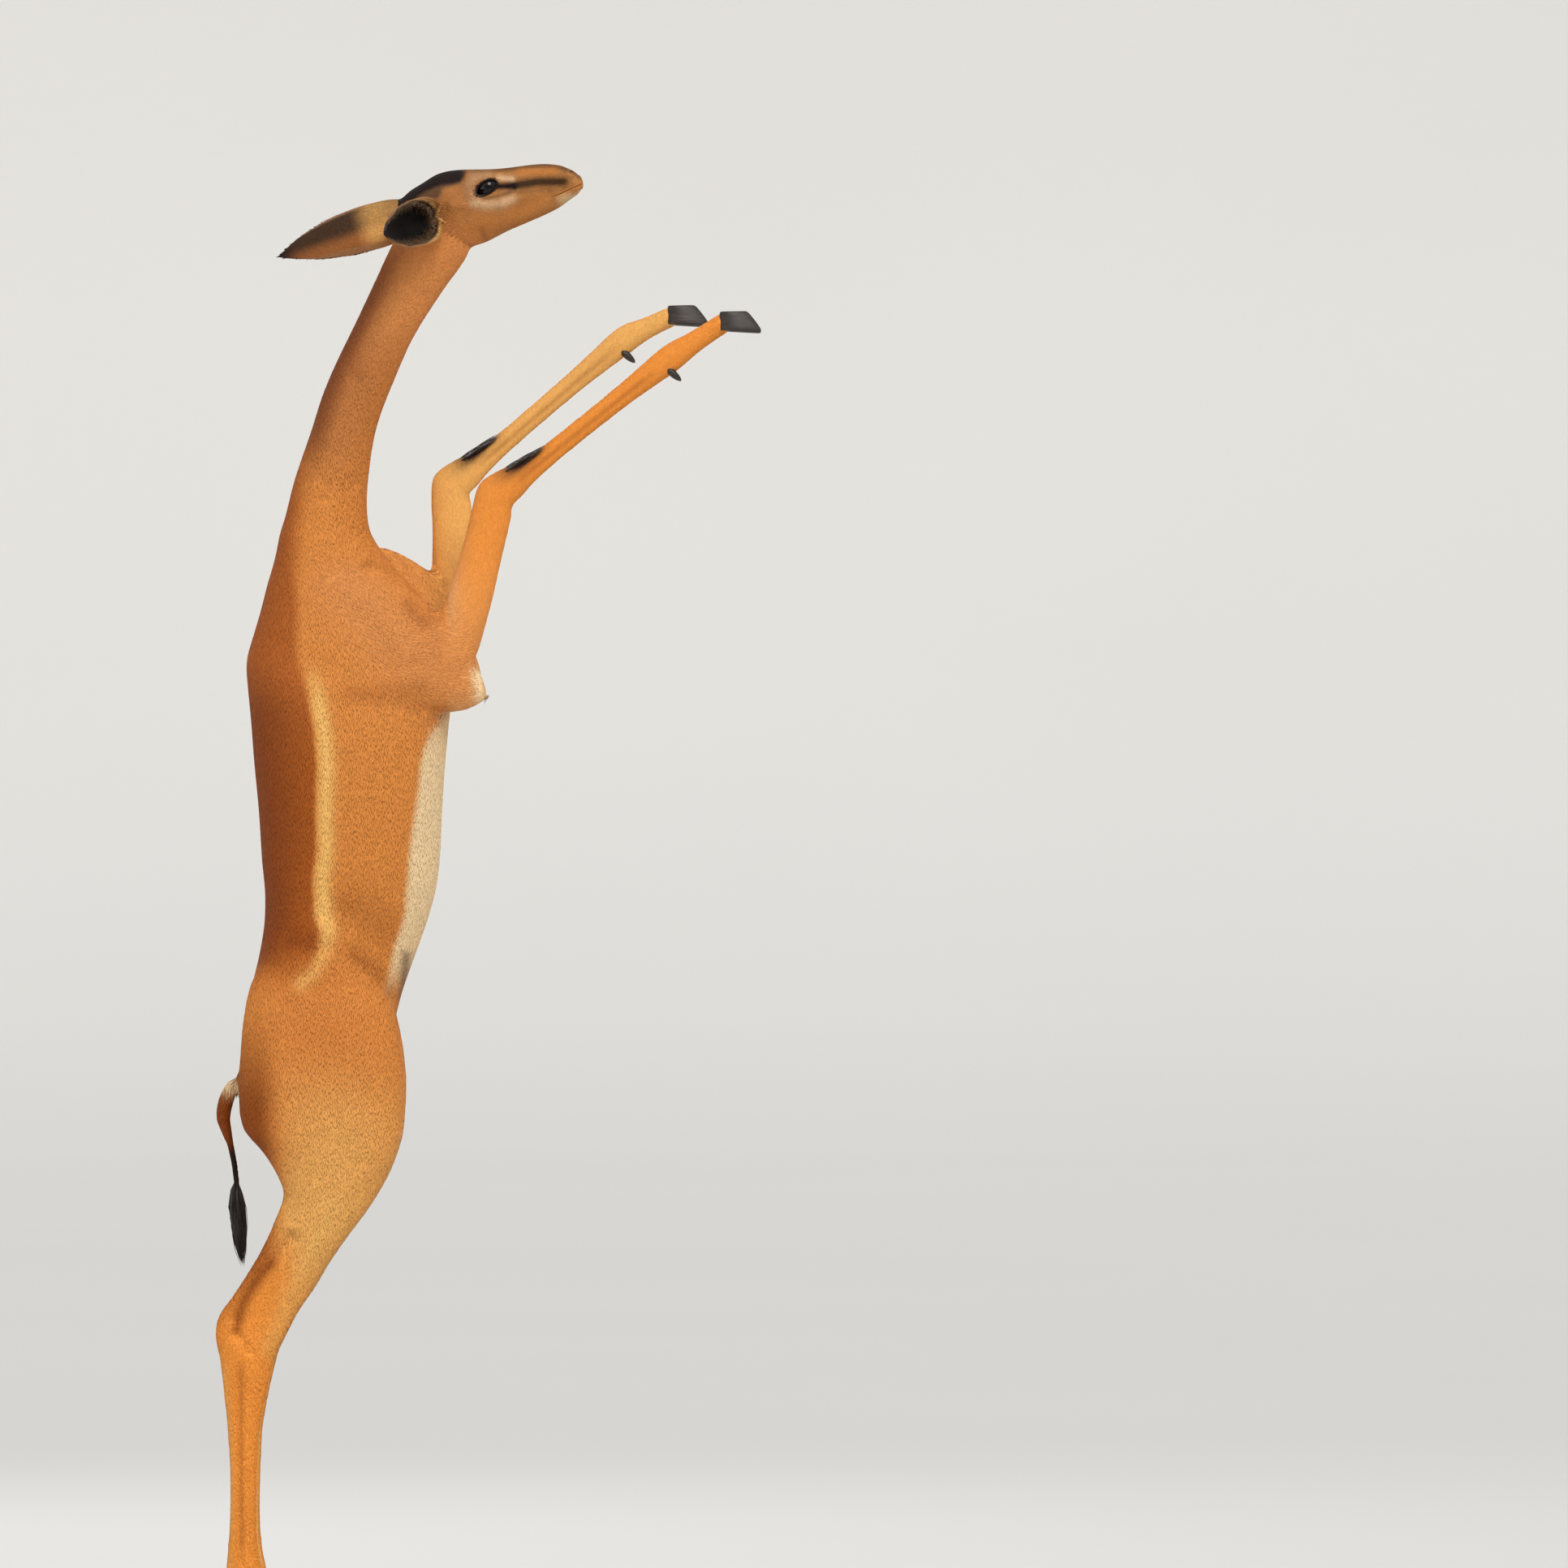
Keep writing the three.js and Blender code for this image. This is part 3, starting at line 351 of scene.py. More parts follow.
# Sections. A row holds back x y z, front x y z, half width, squareness and egg.
def trunk_rows(table):
    return np.array([[r[0], 0, r[1], r[2], 0, r[3], *r[4:]] for r in table], float)


def limb_rows(table, side):
    made = []
    for back_x, back_z, front_x, front_z, away, half, *more in table:
        lean = more[0] if more else 0
        back = [back_x, side * away, back_z]
        front = [front_x, side * (away - lean), front_z]
        made.append([*back, *front, half, LIMB_SQUARENESS, 0])
    return np.array(made, float)


def shoulder_rows(side):
    rows = limb_rows(SHOULDER, side)
    if side == LEFT:
        first = LEFT_ARM_SHIFT["bends_from"]
        t = np.clip((np.arange(len(rows)) - first) / (len(rows) - 1 - first), 0, 1)[:, None]
        shift = (1 - t) * LEFT_ARM_SHIFT["blade"] + t * LEFT_ARM_SHIFT["elbow"]
        rows[:, [0, 2]] += shift
        rows[:, [3, 5]] += shift
    return rows


def head_rows():
    made = []
    for ahead, top, bottom, half, square, egg in HEAD:
        made.append([*head_place(ahead, bottom, 0), *head_place(ahead, top, 0), half, square, egg])
    return np.array(made, float)


def foreleg_rows(side):
    joints = [np.array([x, side * y, z], float) for x, y, z in FORE_BONES[side].values()]
    centres = np.array([joints[b] + (joints[b + 1] - joints[b]) * place for b, place, *_ in FORE_FLESH])
    along = np.gradient(centres, axis=0)
    frontward = unit(np.stack([-along[:, 2], 0 * along[:, 1], along[:, 0]], -1))
    made = []
    for centre, out, (_, _, in_front, behind, half) in zip(centres, frontward, FORE_FLESH):
        made.append([*(centre - out * behind), *(centre + out * in_front), half, LIMB_SQUARENESS, 0])
    return np.array(made, float)


def tail_rows():
    table = np.array(TAIL, float)
    along = unit(np.gradient(table[:, :2], axis=0))
    made = []
    for (x, z, half), (ahead, up) in zip(table, along):
        made.append([x + up * half, 0, z - ahead * half, x - up * half, 0, z + ahead * half, half, 2, 0])
    return np.array(made, float)


def smooth_rows(rows, steps):
    """Rows on a smooth curve through the given ones."""
    padded = np.vstack([2 * rows[0] - rows[1], rows, 2 * rows[-1] - rows[-2]])
    place = np.linspace(0, len(rows) - 1, (len(rows) - 1) * steps + 1)
    start = np.minimum(place.astype(int), len(rows) - 2)
    t = (place - start)[:, None]
    a, b, c, d = (padded[start + k] for k in range(4))
    return 0.5 * (2 * b + (c - a) * t + (2 * a - 5 * b + 4 * c - d) * t**2 + (3 * b - a - 3 * c + d) * t**3)


def domed(rows, first, last, levels=6):
    """The rows with a dome of the given height at each end, or a flat end where it is 0."""
    centre = (rows[:, 0:3] + rows[:, 3:6]) / 2

    def cap(row, middle, axis, height):
        made = []
        for level in range(1, levels + 1):
            lift = level / levels * math.pi / 2
            scale = max(math.cos(lift), 1e-4)
            ring = row.copy()
            for column in (0, 3):
                offset = (row[column:column + 3] - middle) * scale
                ring[column:column + 3] = middle + offset + axis * height * math.sin(lift)
            ring[6] = row[6] * scale
            made.append(ring)
        return made

    start = cap(rows[0], centre[0], unit(centre[0] - centre[1]), first)
    end = cap(rows[-1], centre[-1], unit(centre[-1] - centre[-2]), last)
    return np.vstack([start[::-1], rows, end])


def tube_points(rows, sides, grow=0.0, forms=(), to_forms=side_view):
    """Rings of points round the rows, the last point of each ring on its first."""
    angle = np.linspace(0, 2 * math.pi, sides + 1)[None]
    back, front = rows[:, None, 0:3], rows[:, None, 3:6]
    half, square, egg = (rows[:, k, None] for k in (6, 7, 8))
    across = unit(front - back)
    depth = np.linalg.norm(front - back, axis=-1) / 2
    u = signed_power(np.cos(angle), 2 / square)
    v = signed_power(np.sin(angle), 2 / square)
    wide = half * (1 + egg * u)
    points = (back + front) / 2 + across * (u * depth)[..., None]
    points[..., 1] += v * wide
    out = across * (u * wide)[..., None]
    out[..., 1] += v * depth
    push = grow + form_push(forms, to_forms(points)) * v**2
    push = push * np.clip(depth / 4, 0, 1)
    return points + unit(out) * push[..., None]


# Meshes
def mesh_from(bm, name):
    mesh = bpy.data.meshes.new(name)
    bm.to_mesh(mesh)
    bm.free()
    return mesh


def object_from(mesh, name):
    piece = bpy.data.objects.new(name, mesh)
    bpy.context.scene.collection.objects.link(piece)
    return piece


def wrap_into(bm, points):
    """Adds a closed skin over rings of points to a bmesh: a grid wrapped round and merged where it meets."""
    rows, columns = points.shape[:2]
    grid = bmesh.ops.create_grid(bm, x_segments=columns - 1, y_segments=rows - 1, size=1)
    placed = to_frame(points)
    for vert in grid["verts"]:
        column = round((vert.co.x + 1) / 2 * (columns - 1))
        row = round((vert.co.y + 1) / 2 * (rows - 1))
        vert.co = placed[row, column]
    bmesh.ops.remove_doubles(bm, verts=grid["verts"], dist=0.02 * MM)


def wrapped_mesh(name, *skins):
    bm = bmesh.new()
    for points in skins:
        wrap_into(bm, points)
    bmesh.ops.recalc_face_normals(bm, faces=bm.faces)
    return mesh_from(bm, name)


def closed_rings(rings, tip=0.0):
    """The rings with their middles as a first and last ring, the last one moved on by a tip."""
    first, last = (np.tile(ring[:-1].mean(0), (len(ring), 1)) for ring in (rings[0], rings[-1]))
    return np.array([first, *rings, last + tip])


def drop(piece):
    mesh = piece.data
    bpy.data.objects.remove(piece)
    bpy.data.meshes.remove(mesh)


def settled(piece):
    """Applies the piece's modifiers to its mesh."""
    graph = bpy.context.evaluated_depsgraph_get()
    mesh = bpy.data.meshes.new_from_object(piece.evaluated_get(graph))
    piece.modifiers.clear()
    old = piece.data
    piece.data = mesh
    bpy.data.meshes.remove(old)
    return piece


def combine(piece, mesh, operation):
    """Joins a mesh to a piece, or cuts it out of it."""
    other = object_from(mesh, "other")
    tool = piece.modifiers.new("combine", "BOOLEAN")
    tool.operation = operation
    tool.object = other
    tool.solver = "MANIFOLD"
    settled(piece)
    drop(other)


def read_rows(items, name, columns, kind=np.float32):
    """A property of many items as rows of numbers."""
    values = np.empty(len(items) * columns, kind)
    items.foreach_get(name, values)
    return values.reshape(-1, columns)


def coordinates(mesh):
    return read_rows(mesh.vertices, "co", 3).astype(float)


def set_coordinates(mesh, values):
    mesh.vertices.foreach_set("co", np.asarray(values, np.float32).ravel())
    mesh.update()


def vertex_normals(mesh):
    return read_rows(mesh.vertex_normals, "vector", 3).astype(float)


def triangles_of(mesh):
    mesh.calc_loop_triangles()
    return read_rows(mesh.loop_triangles, "vertices", 3, np.int32)


def neighbour_mean(values, ends, count):
    total = np.empty_like(values)
    for k in range(3):
        total[:, k] = np.bincount(ends[:, 0], values[ends[:, 1], k], len(values))
        total[:, k] += np.bincount(ends[:, 1], values[ends[:, 0], k], len(values))
    return total / count[:, None]


def relaxed(mesh, rounds, weight, keep_volume=False, only_hollows=False):
    """Smooths a mesh where weight is more than 0, with no shrinking or only in its hollows if asked."""
    ends = read_rows(mesh.edges, "vertices", 2, np.int32)
    values = coordinates(mesh)
    count = np.maximum(np.bincount(ends.ravel(), minlength=len(values)), 1)
    normals = vertex_normals(mesh)
    for turn in range(rounds):
        away = neighbour_mean(values, ends, count) - values
        if only_hollows:
            rise = np.maximum((away * normals).sum(1), 0)
            away = normals * rise[:, None]
        amount = -0.52 if keep_volume and turn % 2 else 0.5
        values = values + away * (weight * amount)[:, None]
    set_coordinates(mesh, values)


# Parts of the body, each a run of points that the hair follows from its start to its end, and a radius.
def part_runs():
    def middle(*places):
        return [(x, 0, z) for x, z in places]

    def mirrored(side, places):
        return [(x, side * y, z) for x, y, z in places]

    head = [(118, -14), (60, -16), (-10, -18), (-100, -6)]
    neck = middle((262, 1872), (238, 1832), (186, 1760), (150, 1690), (124, 1610), (108, 1500))
    back = middle((108, 1490), (132, 1400), (136, 1250), (140, 1060), (118, 960), (98, 850), (80, 730))
    blade = [(130, 62, 1425), (195, 66, 1345), (268, 66, 1318)]
    haunch = [(95, 45, 930), (104, 54, 810), (112, 58, 700), (96, 62, 610)]
    shank = [(96, 62, 610), (52, 62, 530), (4, 61, 450), (2, 63, 300), (4, 65, 130), (34, 66, 52)]
    runs = {
        "head": ([head_place(ahead, up, 0) for ahead, up in head], 38),
        "neck": (neck, 38),
        "trunk": (back, 92),
        "tail": (middle(*[(x, z) for x, z, _ in TAIL[1:]]), 7),
    }
    left_shifts = [LEFT_ARM_SHIFT["blade"]] * 2 + [LEFT_ARM_SHIFT["elbow"]]
    for side, name in SIDES.items():
        shifts = [(0, 0)] * 3 if side == RIGHT else left_shifts
        moved = [(x + dx, y, z + dz) for (x, y, z), (dx, dz) in zip(blade, shifts)]
        runs[f"arm_{name}"] = (mirrored(side, moved), 44)
        runs[f"foreleg_{name}"] = (mirrored(side, FORE_BONES[side].values()), 20)
        runs[f"haunch_{name}"] = (mirrored(side, haunch), 60)
        runs[f"hindleg_{name}"] = (mirrored(side, shank), 20)
        runs[f"ear_{name}"] = (EARS[side][:2], 19)
    return runs


RUNS = part_runs()
PARTS = list(RUNS)
# Coat by kind of part: length, width and rise of a tuft over the skin, and tufts to a square centimetre.
COAT = {
    "head": (4.8, 0.95, 0.07, 56),
    "neck": (9.5, 1.6, 0.08, 26),
    "trunk": (12.0, 2.2, 0.08, 13.5),
    "tail": (12.0, 1.6, 0.8, 60),
    "arm": (10.5, 1.9, 0.08, 18),
    "foreleg": (7.0, 1.3, 0.07, 31),
    "haunch": (11.0, 2.2, 0.08, 15),
    "hindleg": (7.0, 1.3, 0.07, 30),
    "ear": (6.0, 1.1, 0.12, 40),
}
FIRST_COAT_SEED = 40
TUFT_ROOT_DEPTH = 0.16
TUFT_THICKNESS = 0.2
# Parts share the skin: a part's weight is this power of its distance in radii and a little more.
PART_BLEND = 0.12
PART_FALL = -5.0


def part_kind(name):
    return name.split("_")[0]


def share_of(weight, *kinds):
    """How much each point belongs to parts of the given kinds."""
    return sum(weight[:, k] for k, name in enumerate(PARTS) if part_kind(name) in kinds)


def lie_of(points):
    """At each point: the parts' weights, the lie of the hair, the nearest part, place along and round it."""
    shape = (len(points), len(PARTS))
    closeness = np.full(shape, 1e9)
    heading = np.zeros((*shape, 3))
    along = np.zeros(shape)
    around = np.zeros(shape)
    for index, name in enumerate(PARTS):
        run, radius = RUNS[name]
        run = np.array(run, float)
        length = 0.0
        for start, end in zip(run, run[1:]):
            line = end - start
            size = np.linalg.norm(line)
            place = np.clip((points - start) @ line / size**2, 0, 1)
            offset = points - start - place[:, None] * line
            away = np.linalg.norm(offset, axis=1) / radius
            nearer = away < closeness[:, index]
            closeness[nearer, index] = away[nearer]
            heading[nearer, index] = line / size
            along[nearer, index] = length + place[nearer] * size
            cross = unit(np.cross(line / size, [0.0, 1.0, 0.0]))
            turn = np.arctan2(offset[:, 1], offset @ cross)
            around[nearer, index] = turn[nearer]
            length += size
    weight = (closeness + PART_BLEND) ** PART_FALL
    weight /= weight.sum(1, keepdims=True)
    nearest = closeness.argmin(1)
    each = np.arange(len(points))
    way = unit((heading * weight[..., None]).sum(1))
    return weight, way, nearest, along[each, nearest], around[each, nearest]


# Where the grooves of the cannons start and end along the leg, how they fade, and their angle round it.
GROOVE = {"foreleg": (245, 500), "hindleg": (195, 480), "fade": 40, "angle": 1.75}


def tendon_grooves(nearest, along, around, width):
    """1 in the groove on each side of a cannon, between the bone and the tendons behind it."""
    groove = np.zeros(len(along))
    for index, name in enumerate(PARTS):
        if part_kind(name) in GROOVE:
            start, end = GROOVE[part_kind(name)]
            fade = GROOVE["fade"]
            where = smoothstep(start, start + fade, along) * smoothstep(end, end - fade, along)
            depth = np.exp(-((np.abs(around) - GROOVE["angle"]) / width) ** 2)
            groove = np.where(nearest == index, where * depth, groove)
    return groove


# The unwrap: its units to a millimetre of skin, its margin, and the size of a tuft's patch.
UNWRAP_SCALE = 1 / 1500
UNWRAP_MARGIN = 0.01
UNWRAP_PATCH = 0.003


def unwrap_cells():
    """The left and bottom, on a flat sheet, of the unrolled skin of each part."""
    sizes = []
    for name, (run, radius) in RUNS.items():
        points = np.array(run, float)
        length = np.linalg.norm(np.diff(points, axis=0), axis=1).sum() + 2 * radius
        sizes.append((length, 2 * math.pi * radius, name))
    cells = {}
    left, bottom, shelf = UNWRAP_MARGIN, UNWRAP_MARGIN, 0.0
    for length, girth, name in sorted(sizes, reverse=True):
        if left + girth * UNWRAP_SCALE > 1 - UNWRAP_MARGIN:
            left, bottom, shelf = UNWRAP_MARGIN, bottom + shelf + UNWRAP_MARGIN, 0.0
        cells[name] = (left, bottom)
        shelf = max(shelf, length * UNWRAP_SCALE)
        left += girth * UNWRAP_SCALE + UNWRAP_MARGIN
    return cells


CELLS = unwrap_cells()


# Colours
def srgb(red, green, blue):
    """A colour as a screen shows it, 0 to 255, as linear light."""
    channels = (value / 255 for value in (red, green, blue))
    return tuple(c / 12.92 if c <= 0.04045 else ((c + 0.055) / 1.055) ** 2.4 for c in channels)


def colour_field(name, what, colour):
    return bpy.props.FloatVectorProperty(
        name=name, description=what, subtype="COLOR", size=3, min=0, max=1, default=srgb(*colour))


class GerenukColours(bpy.types.PropertyGroup):
    """Colours of the coat and hair."""
    saddle: colour_field("Saddle", "The dark hair of the back", (196, 103, 26))
    saddle_high: colour_field("High saddle", "The back's hair over the shoulders", (202, 111, 42))
    # Laid partly as painted shade on the back where it turns from the light, and in the loin's hollow. It is
    # also the tail's colour.
    back_line_and_shade: colour_field("Back line", "The darkest hair, along the spine", (134, 60, 11))
    flank: colour_field("Flank", "The hair between saddle and belly", (228, 142, 64))
    # Also laid as painted highlight along the hip bone's ridge and on the lower front of the thighs.
    light_band_and_highlight: colour_field("Light band", "The pale hair in front of the saddle's edge", (255, 197, 110))
    belly: colour_field("Belly", "The white hair underneath", (255, 221, 170))
    neck: colour_field("Neck", "The sides of the neck", (200, 124, 64))
    # Laid as painted shade on the back of the neck, the side turned from the light, and as the ear's painted
    # shadow on the neck.
    nape_and_shade: colour_field("Nape", "The back of the neck", (126, 63, 29))
    shoulder: colour_field("Shoulder", "The shoulder and upper arm", (228, 146, 78))
    haunch: colour_field("Haunch", "The thighs", (220, 132, 58))
    leg: colour_field("Leg", "The outer sides of the legs", (252, 154, 60))
    leg_inner: colour_field("Inner leg", "The inner sides of the legs", (255, 190, 104))
    # Painted shade: this dark tone is laid in hollows, folds and grooves of flank, loin, buttocks, armpits,
    # hocks and cannons. It is also the tail's own dark colour.
    shade_and_tail: colour_field("Hollows", "The dark hair in hollows of leg and loin", (150, 74, 14))
    face: colour_field("Face", "The sides of the face", (193, 128, 69))
    face_top: colour_field("Nose bridge", "The top of the muzzle", (124, 82, 46))
    face_orange: colour_field("Muzzle band", "The bright band along the muzzle", (212, 134, 64))
    face_stripe: colour_field("Face stripe", "The stripe from the eye to the nose", (70, 42, 10))
    eye_ring: colour_field("Eye ring", "The pale ring round the eye", (198, 146, 102))
    eye_pale: colour_field("Pale eye patches", "The palest hair before and under the eye", (232, 188, 142))
    crown: colour_field("Crown", "The dark crown patch", (36, 20, 16))
    # Also laid as painted shade in the hollow where the belly's white meets the thigh.
    crown_edge_and_shade: colour_field("Crown's edge", "The brown below the crown patch", (102, 74, 52))
    ear_back: colour_field("Ear", "The back of the ears", (76, 50, 30))
    ear_light: colour_field("Ear base", "The bright hair at the root of the ears", (255, 190, 108))
    black: colour_field("Black hair", "Tail tuft, knee brushes and inner ear", (22, 14, 10))
    brush: colour_field("Knee brush", "The brushes below the knees", (60, 34, 20))
    ear_hair: colour_field("Ear hair", "The soft hair in the cup of the ear", (116, 90, 68))


class GerenukSizes(bpy.types.PropertyGroup):
    """Sizes of the skin and coat."""
    voxel: bpy.props.FloatProperty(
        name="Skin grain", description="Size of the faces that the body's skin is made of", unit="LENGTH",
        default=4.6 * MM, min=2 * MM, max=12 * MM)
    tuft_scale: bpy.props.FloatProperty(
        name="Tuft length", description="Length of the tufts beside their usual one", subtype="FACTOR",
        default=1.0, min=0.2, max=2)
    tuft_share: bpy.props.FloatProperty(
        name="Coat density", description="Share of the tufts that are grown", subtype="FACTOR",
        default=1.0, min=0.02, max=1.5)
    eye_radius: bpy.props.FloatProperty(
        name="Eye radius", description="Radius of the eyeball", unit="LENGTH", default=EYE["radius"] * MM)
    camera_distance: bpy.props.FloatProperty(
        name="Camera distance", description="How far the camera stands from her middle", unit="LENGTH",
        default=18.0)


def colours():
    props = bpy.context.scene.gerenuk_colours
    return {name: np.array(getattr(props, name)) for name in props.__annotations__}


def mixed(colour, other, mask):
    return colour + (other - colour) * np.clip(mask, 0, 1)[:, None]


# Edges of the markings seen from the side, each a run of x, z from top to bottom.
SADDLE_EDGE = [
    (76, 1570), (70, 1500), (68, 1444), (72, 1392), (71, 1340), (84, 1290), (90, 1256), (94, 1235),
    (97, 1193), (95, 1130), (96, 1088), (92, 1046), (94, 1004), (102, 972), (98, 945), (90, 910),
]
BELLY_EDGE = [
    (262, 1275), (252, 1247), (241, 1235), (233, 1214), (229, 1193), (228, 1172), (225, 1151),
    (222, 1130), (219, 1109), (216, 1088), (213, 1046), (210, 1004), (205, 983), (197, 962), (187, 920),
    (170, 880), (120, 800),
]
# The crown patch seen from the side of the head: how far ahead, lower edges of the black and of the brown.
CROWN = [
    (-108, -1, -8), (-97, 2, -6), (-88, 8, -3), (-78, 12, -1), (-62, 15, 0), (-54, 16, 11),
    (-43, 14, 12), (-31, 15, 13), (-24, 21, 18), (-16, 32, 27),
]
EYE_BLACK = [(15, -1), (37, -4.5)]
# A painted highlight that runs from the saddle's edge along the ridge of the hip bone.
HIP_HIGHLIGHT = [(105, 1005), (112, 978), (108, 951), (96, 930), (78, 912)]


def edge_at(run, height):
    run = np.array(run[::-1], float)
    return np.interp(height, run[:, 1], run[:, 0])


def near(flat, run, reach):
    """1 on a run of side-view points, fading smoothly to 0 at about twice the reach from it."""
    return np.exp(-(run_distance(flat, run) / reach) ** 2)


def ear_axes(side):
    """The base of an ear, the way it points, the way its cup opens, and the way across it."""
    base, tip, opening = (np.array(v, float) for v in EARS[side])
    along = unit(tip - base)
    face = unit(opening - along * (opening @ along))
    return base, along, face, np.cross(along, face)


def ear_bend(place):
    """How far the ear's middle lies back from a straight line, at places along it."""
    return EAR["bend"] * np.sin(math.pi * place)


def ear_radius(place):
    """The radius of an ear, the turn of its edges and its wall's share of the radius, at places along it."""
    profile = np.array(EAR_PROFILE, float)
    width, turn, wall = (np.interp(place, profile[:, 0], profile[:, k]) for k in (1, 2, 3))
    return EAR["width"] * width / 2 / np.sin(np.minimum(turn, math.pi / 2)), turn, wall


def ear_view(points, normals, side):
    """Place along an ear from 0 to 1, across it, and whether it is on the inner wall of the cup."""
    base, along, face, across = ear_axes(side)
    away = points - base
    place = away @ along / EAR["length"]
    radius, _, _ = ear_radius(place)
    lift = radius * EAR["seat"] - ear_bend(np.clip(place, 0, 1))
    offset = away - along * (away @ along)[:, None] - face * lift[:, None]
    inner = ((offset * normals).sum(1) < 0) & (np.linalg.norm(offset, axis=1) < 1.2 * radius)
    return place, away @ across / (EAR["width"] / 2), inner


def lid_view(flat, margin):
    """Distance from the eye's middle: 1 on an oval a margin wider and higher than the lids' opening."""
    tilt = math.radians(EYE["tilt"]) - HEAD_TILT
    ahead, up = flat[:, 0], flat[:, 1]
    across = ahead * math.cos(tilt) + up * math.sin(tilt)
    above = up * math.cos(tilt) - ahead * math.sin(tilt)
    return np.hypot(across / (EYE["length"] / 2 + margin[0]), above / (EYE["height"] / 2 + margin[1]))


class Painting:
    """The colour at points of the skin, on which tones are laid one after the other."""

    def __init__(self, tones, colour, flat):
        self.tones = tones
        self.colour = colour
        self.flat = flat

    def lay(self, tone, mask):
        """Lays a tone over the points as far as the mask says, from 0 to 1."""
        self.colour = mixed(self.colour, self.tones[tone], mask)

    def patch(self, tone, run, reach, strength):
        """Lays a tone round a run of side-view points. The strength may differ from point to point."""
        self.lay(tone, near(self.flat, run, reach) * strength)

    def cover(self, others, mask):
        """Lays other colours, one for each point, over the points."""
        self.colour = mixed(self.colour, others, mask)


def plain_painting(tones, tone, points):
    return Painting(tones, np.tile(tones[tone], (len(points), 1)), side_view(points))


def head_colours(colour, points, tones):
    flat = head_view(points)
    ahead, up = flat[:, 0], flat[:, 1]
    side = np.abs(points[:, 1])
    top = np.interp(ahead, [row[0] for row in HEAD], [row[1] for row in HEAD])
    below = top - up
    head = Painting(tones, colour, flat)
    head.patch("neck", [(-98, -20), (-60, -16), (-38, -4)], 17, 0.35)
    head.patch("face_orange", [(-20, -44), (40, -40), (64, -30)], 13, 0.6)
    # Painted shadow of the ear on the neck, just below the ear's base.
    head.patch("nape_and_shade", [(-100, -36), (-88, -62)], 9, 0.7)
    head.patch("nape_and_shade", [(-16, -50), (-12, -66)], 4, 0.35)
    head.lay("face_top", smoothstep(9, 3, below) * smoothstep(-30, -5, ahead) * 0.85)
    head.patch("face_orange", [(48, 11), (92, 3)], 5, 0.9)
    head.patch("face_stripe", [(34, -4), (68, -5.5), (100, -12)], 6.5, 1.15)
    head.patch("face_top", [(40, -14), (84, -19)], 2.6, 0.35)
    head.lay("belly", smoothstep(80, 100, ahead) * smoothstep(-25, -33, up) * 0.75)
    head.patch("face_top", [(108, 6), (122, -8)], 8, 0.6)
    head.patch("eye_ring", [(-20, -6), (-21, 7), (-12, 16.5), (6, 15)], 7, 0.95)
    head.patch("eye_pale", [(20, 9), (35, 4.5)], 4, 0.95)
    head.patch("eye_pale", [(-17, -16), (-6, -21), (14, -24), (30, -20)], 6.5, 0.85)
    head.patch("face_top", [(-6, -13), (16, -13.5), (30, -11)], 2.6, 0.7)
    crown = np.array(CROWN, float)
    black = np.interp(ahead, crown[:, 0], crown[:, 1])
    brown = np.interp(ahead, crown[:, 0], crown[:, 2])
    behind = smoothstep(-12, -30, ahead)
    head.lay("crown_edge_and_shade", smoothstep(brown - 4, brown + 4, up) * behind * 0.9)
    head.lay("crown", smoothstep(black - 3.5, black + 3.5, up) * behind)
    nose_line = smoothstep(9, 4, side) * smoothstep(7, 3, below)
    head.lay("crown", nose_line * smoothstep(60, 20, ahead) * 0.6)
    head.patch("crown", EYE_BLACK, 4.6, 1.2)
    head.lay("black", smoothstep(1.2, 1.03, lid_view(flat, (1.6, 1.4))) * (side > 20))
    return head.colour


def ear_colours(points, normals, tones, side):
    along, across, open_side = ear_view(points, normals, side)
    across = np.abs(across)
    base, tip, _ = EARS[side]
    middle = base[2] + (tip[2] - base[2]) * along
    low = smoothstep(4, -16, points[:, 2] - middle)
    outer = plain_painting(tones, "ear_back", points)
    outer.lay("neck", low * 0.85)
    outer.lay("ear_light", smoothstep(0.46, 0.3, along) * (0.55 + 0.45 * low))
    rim = smoothstep(0.78, 0.97, across / np.sqrt(np.clip(1.02 - along**2, 0.05, 1)))
    outer.lay("eye_ring", rim * smoothstep(0.1, 0.3, along) * 0.6)
    outer.lay("crown", smoothstep(0.84, 1, along))
    inner = plain_painting(tones, "black", points)
    # The cup's wall is near black: partly its dark skin, partly painted shade deep in the cup.
    inner.colour = inner.colour * 0.4
    inner.lay("ear_hair", smoothstep(0.5, 0.95, across) * 0.9)
    inner.lay("eye_ring", smoothstep(0.8, 1.0, across) * 0.6)
    inner.lay("crown_edge_and_shade", smoothstep(0.16, 0.08, along))
    return np.where(open_side[:, None], inner.colour, outer.colour)


# Where the colours of head and ears take over, by the parts' weights.
HEAD_SHARE = 1.25
EAR_SHARE = (0.3, 0.75)
# The colour that each kind of part starts from.
PLAIN_TONES = {
    "head": "face", "neck": "neck", "trunk": "flank", "tail": "shade_and_tail", "arm": "shoulder",
    "foreleg": "leg", "haunch": "haunch", "hindleg": "leg", "ear": "ear_back",
}
# The dark brush of a foreleg: how far below and ahead of the knee, and its reach along and across.
BRUSH_PATCH = {"below": 52, "ahead": 14, "long": 30, "wide": 9}


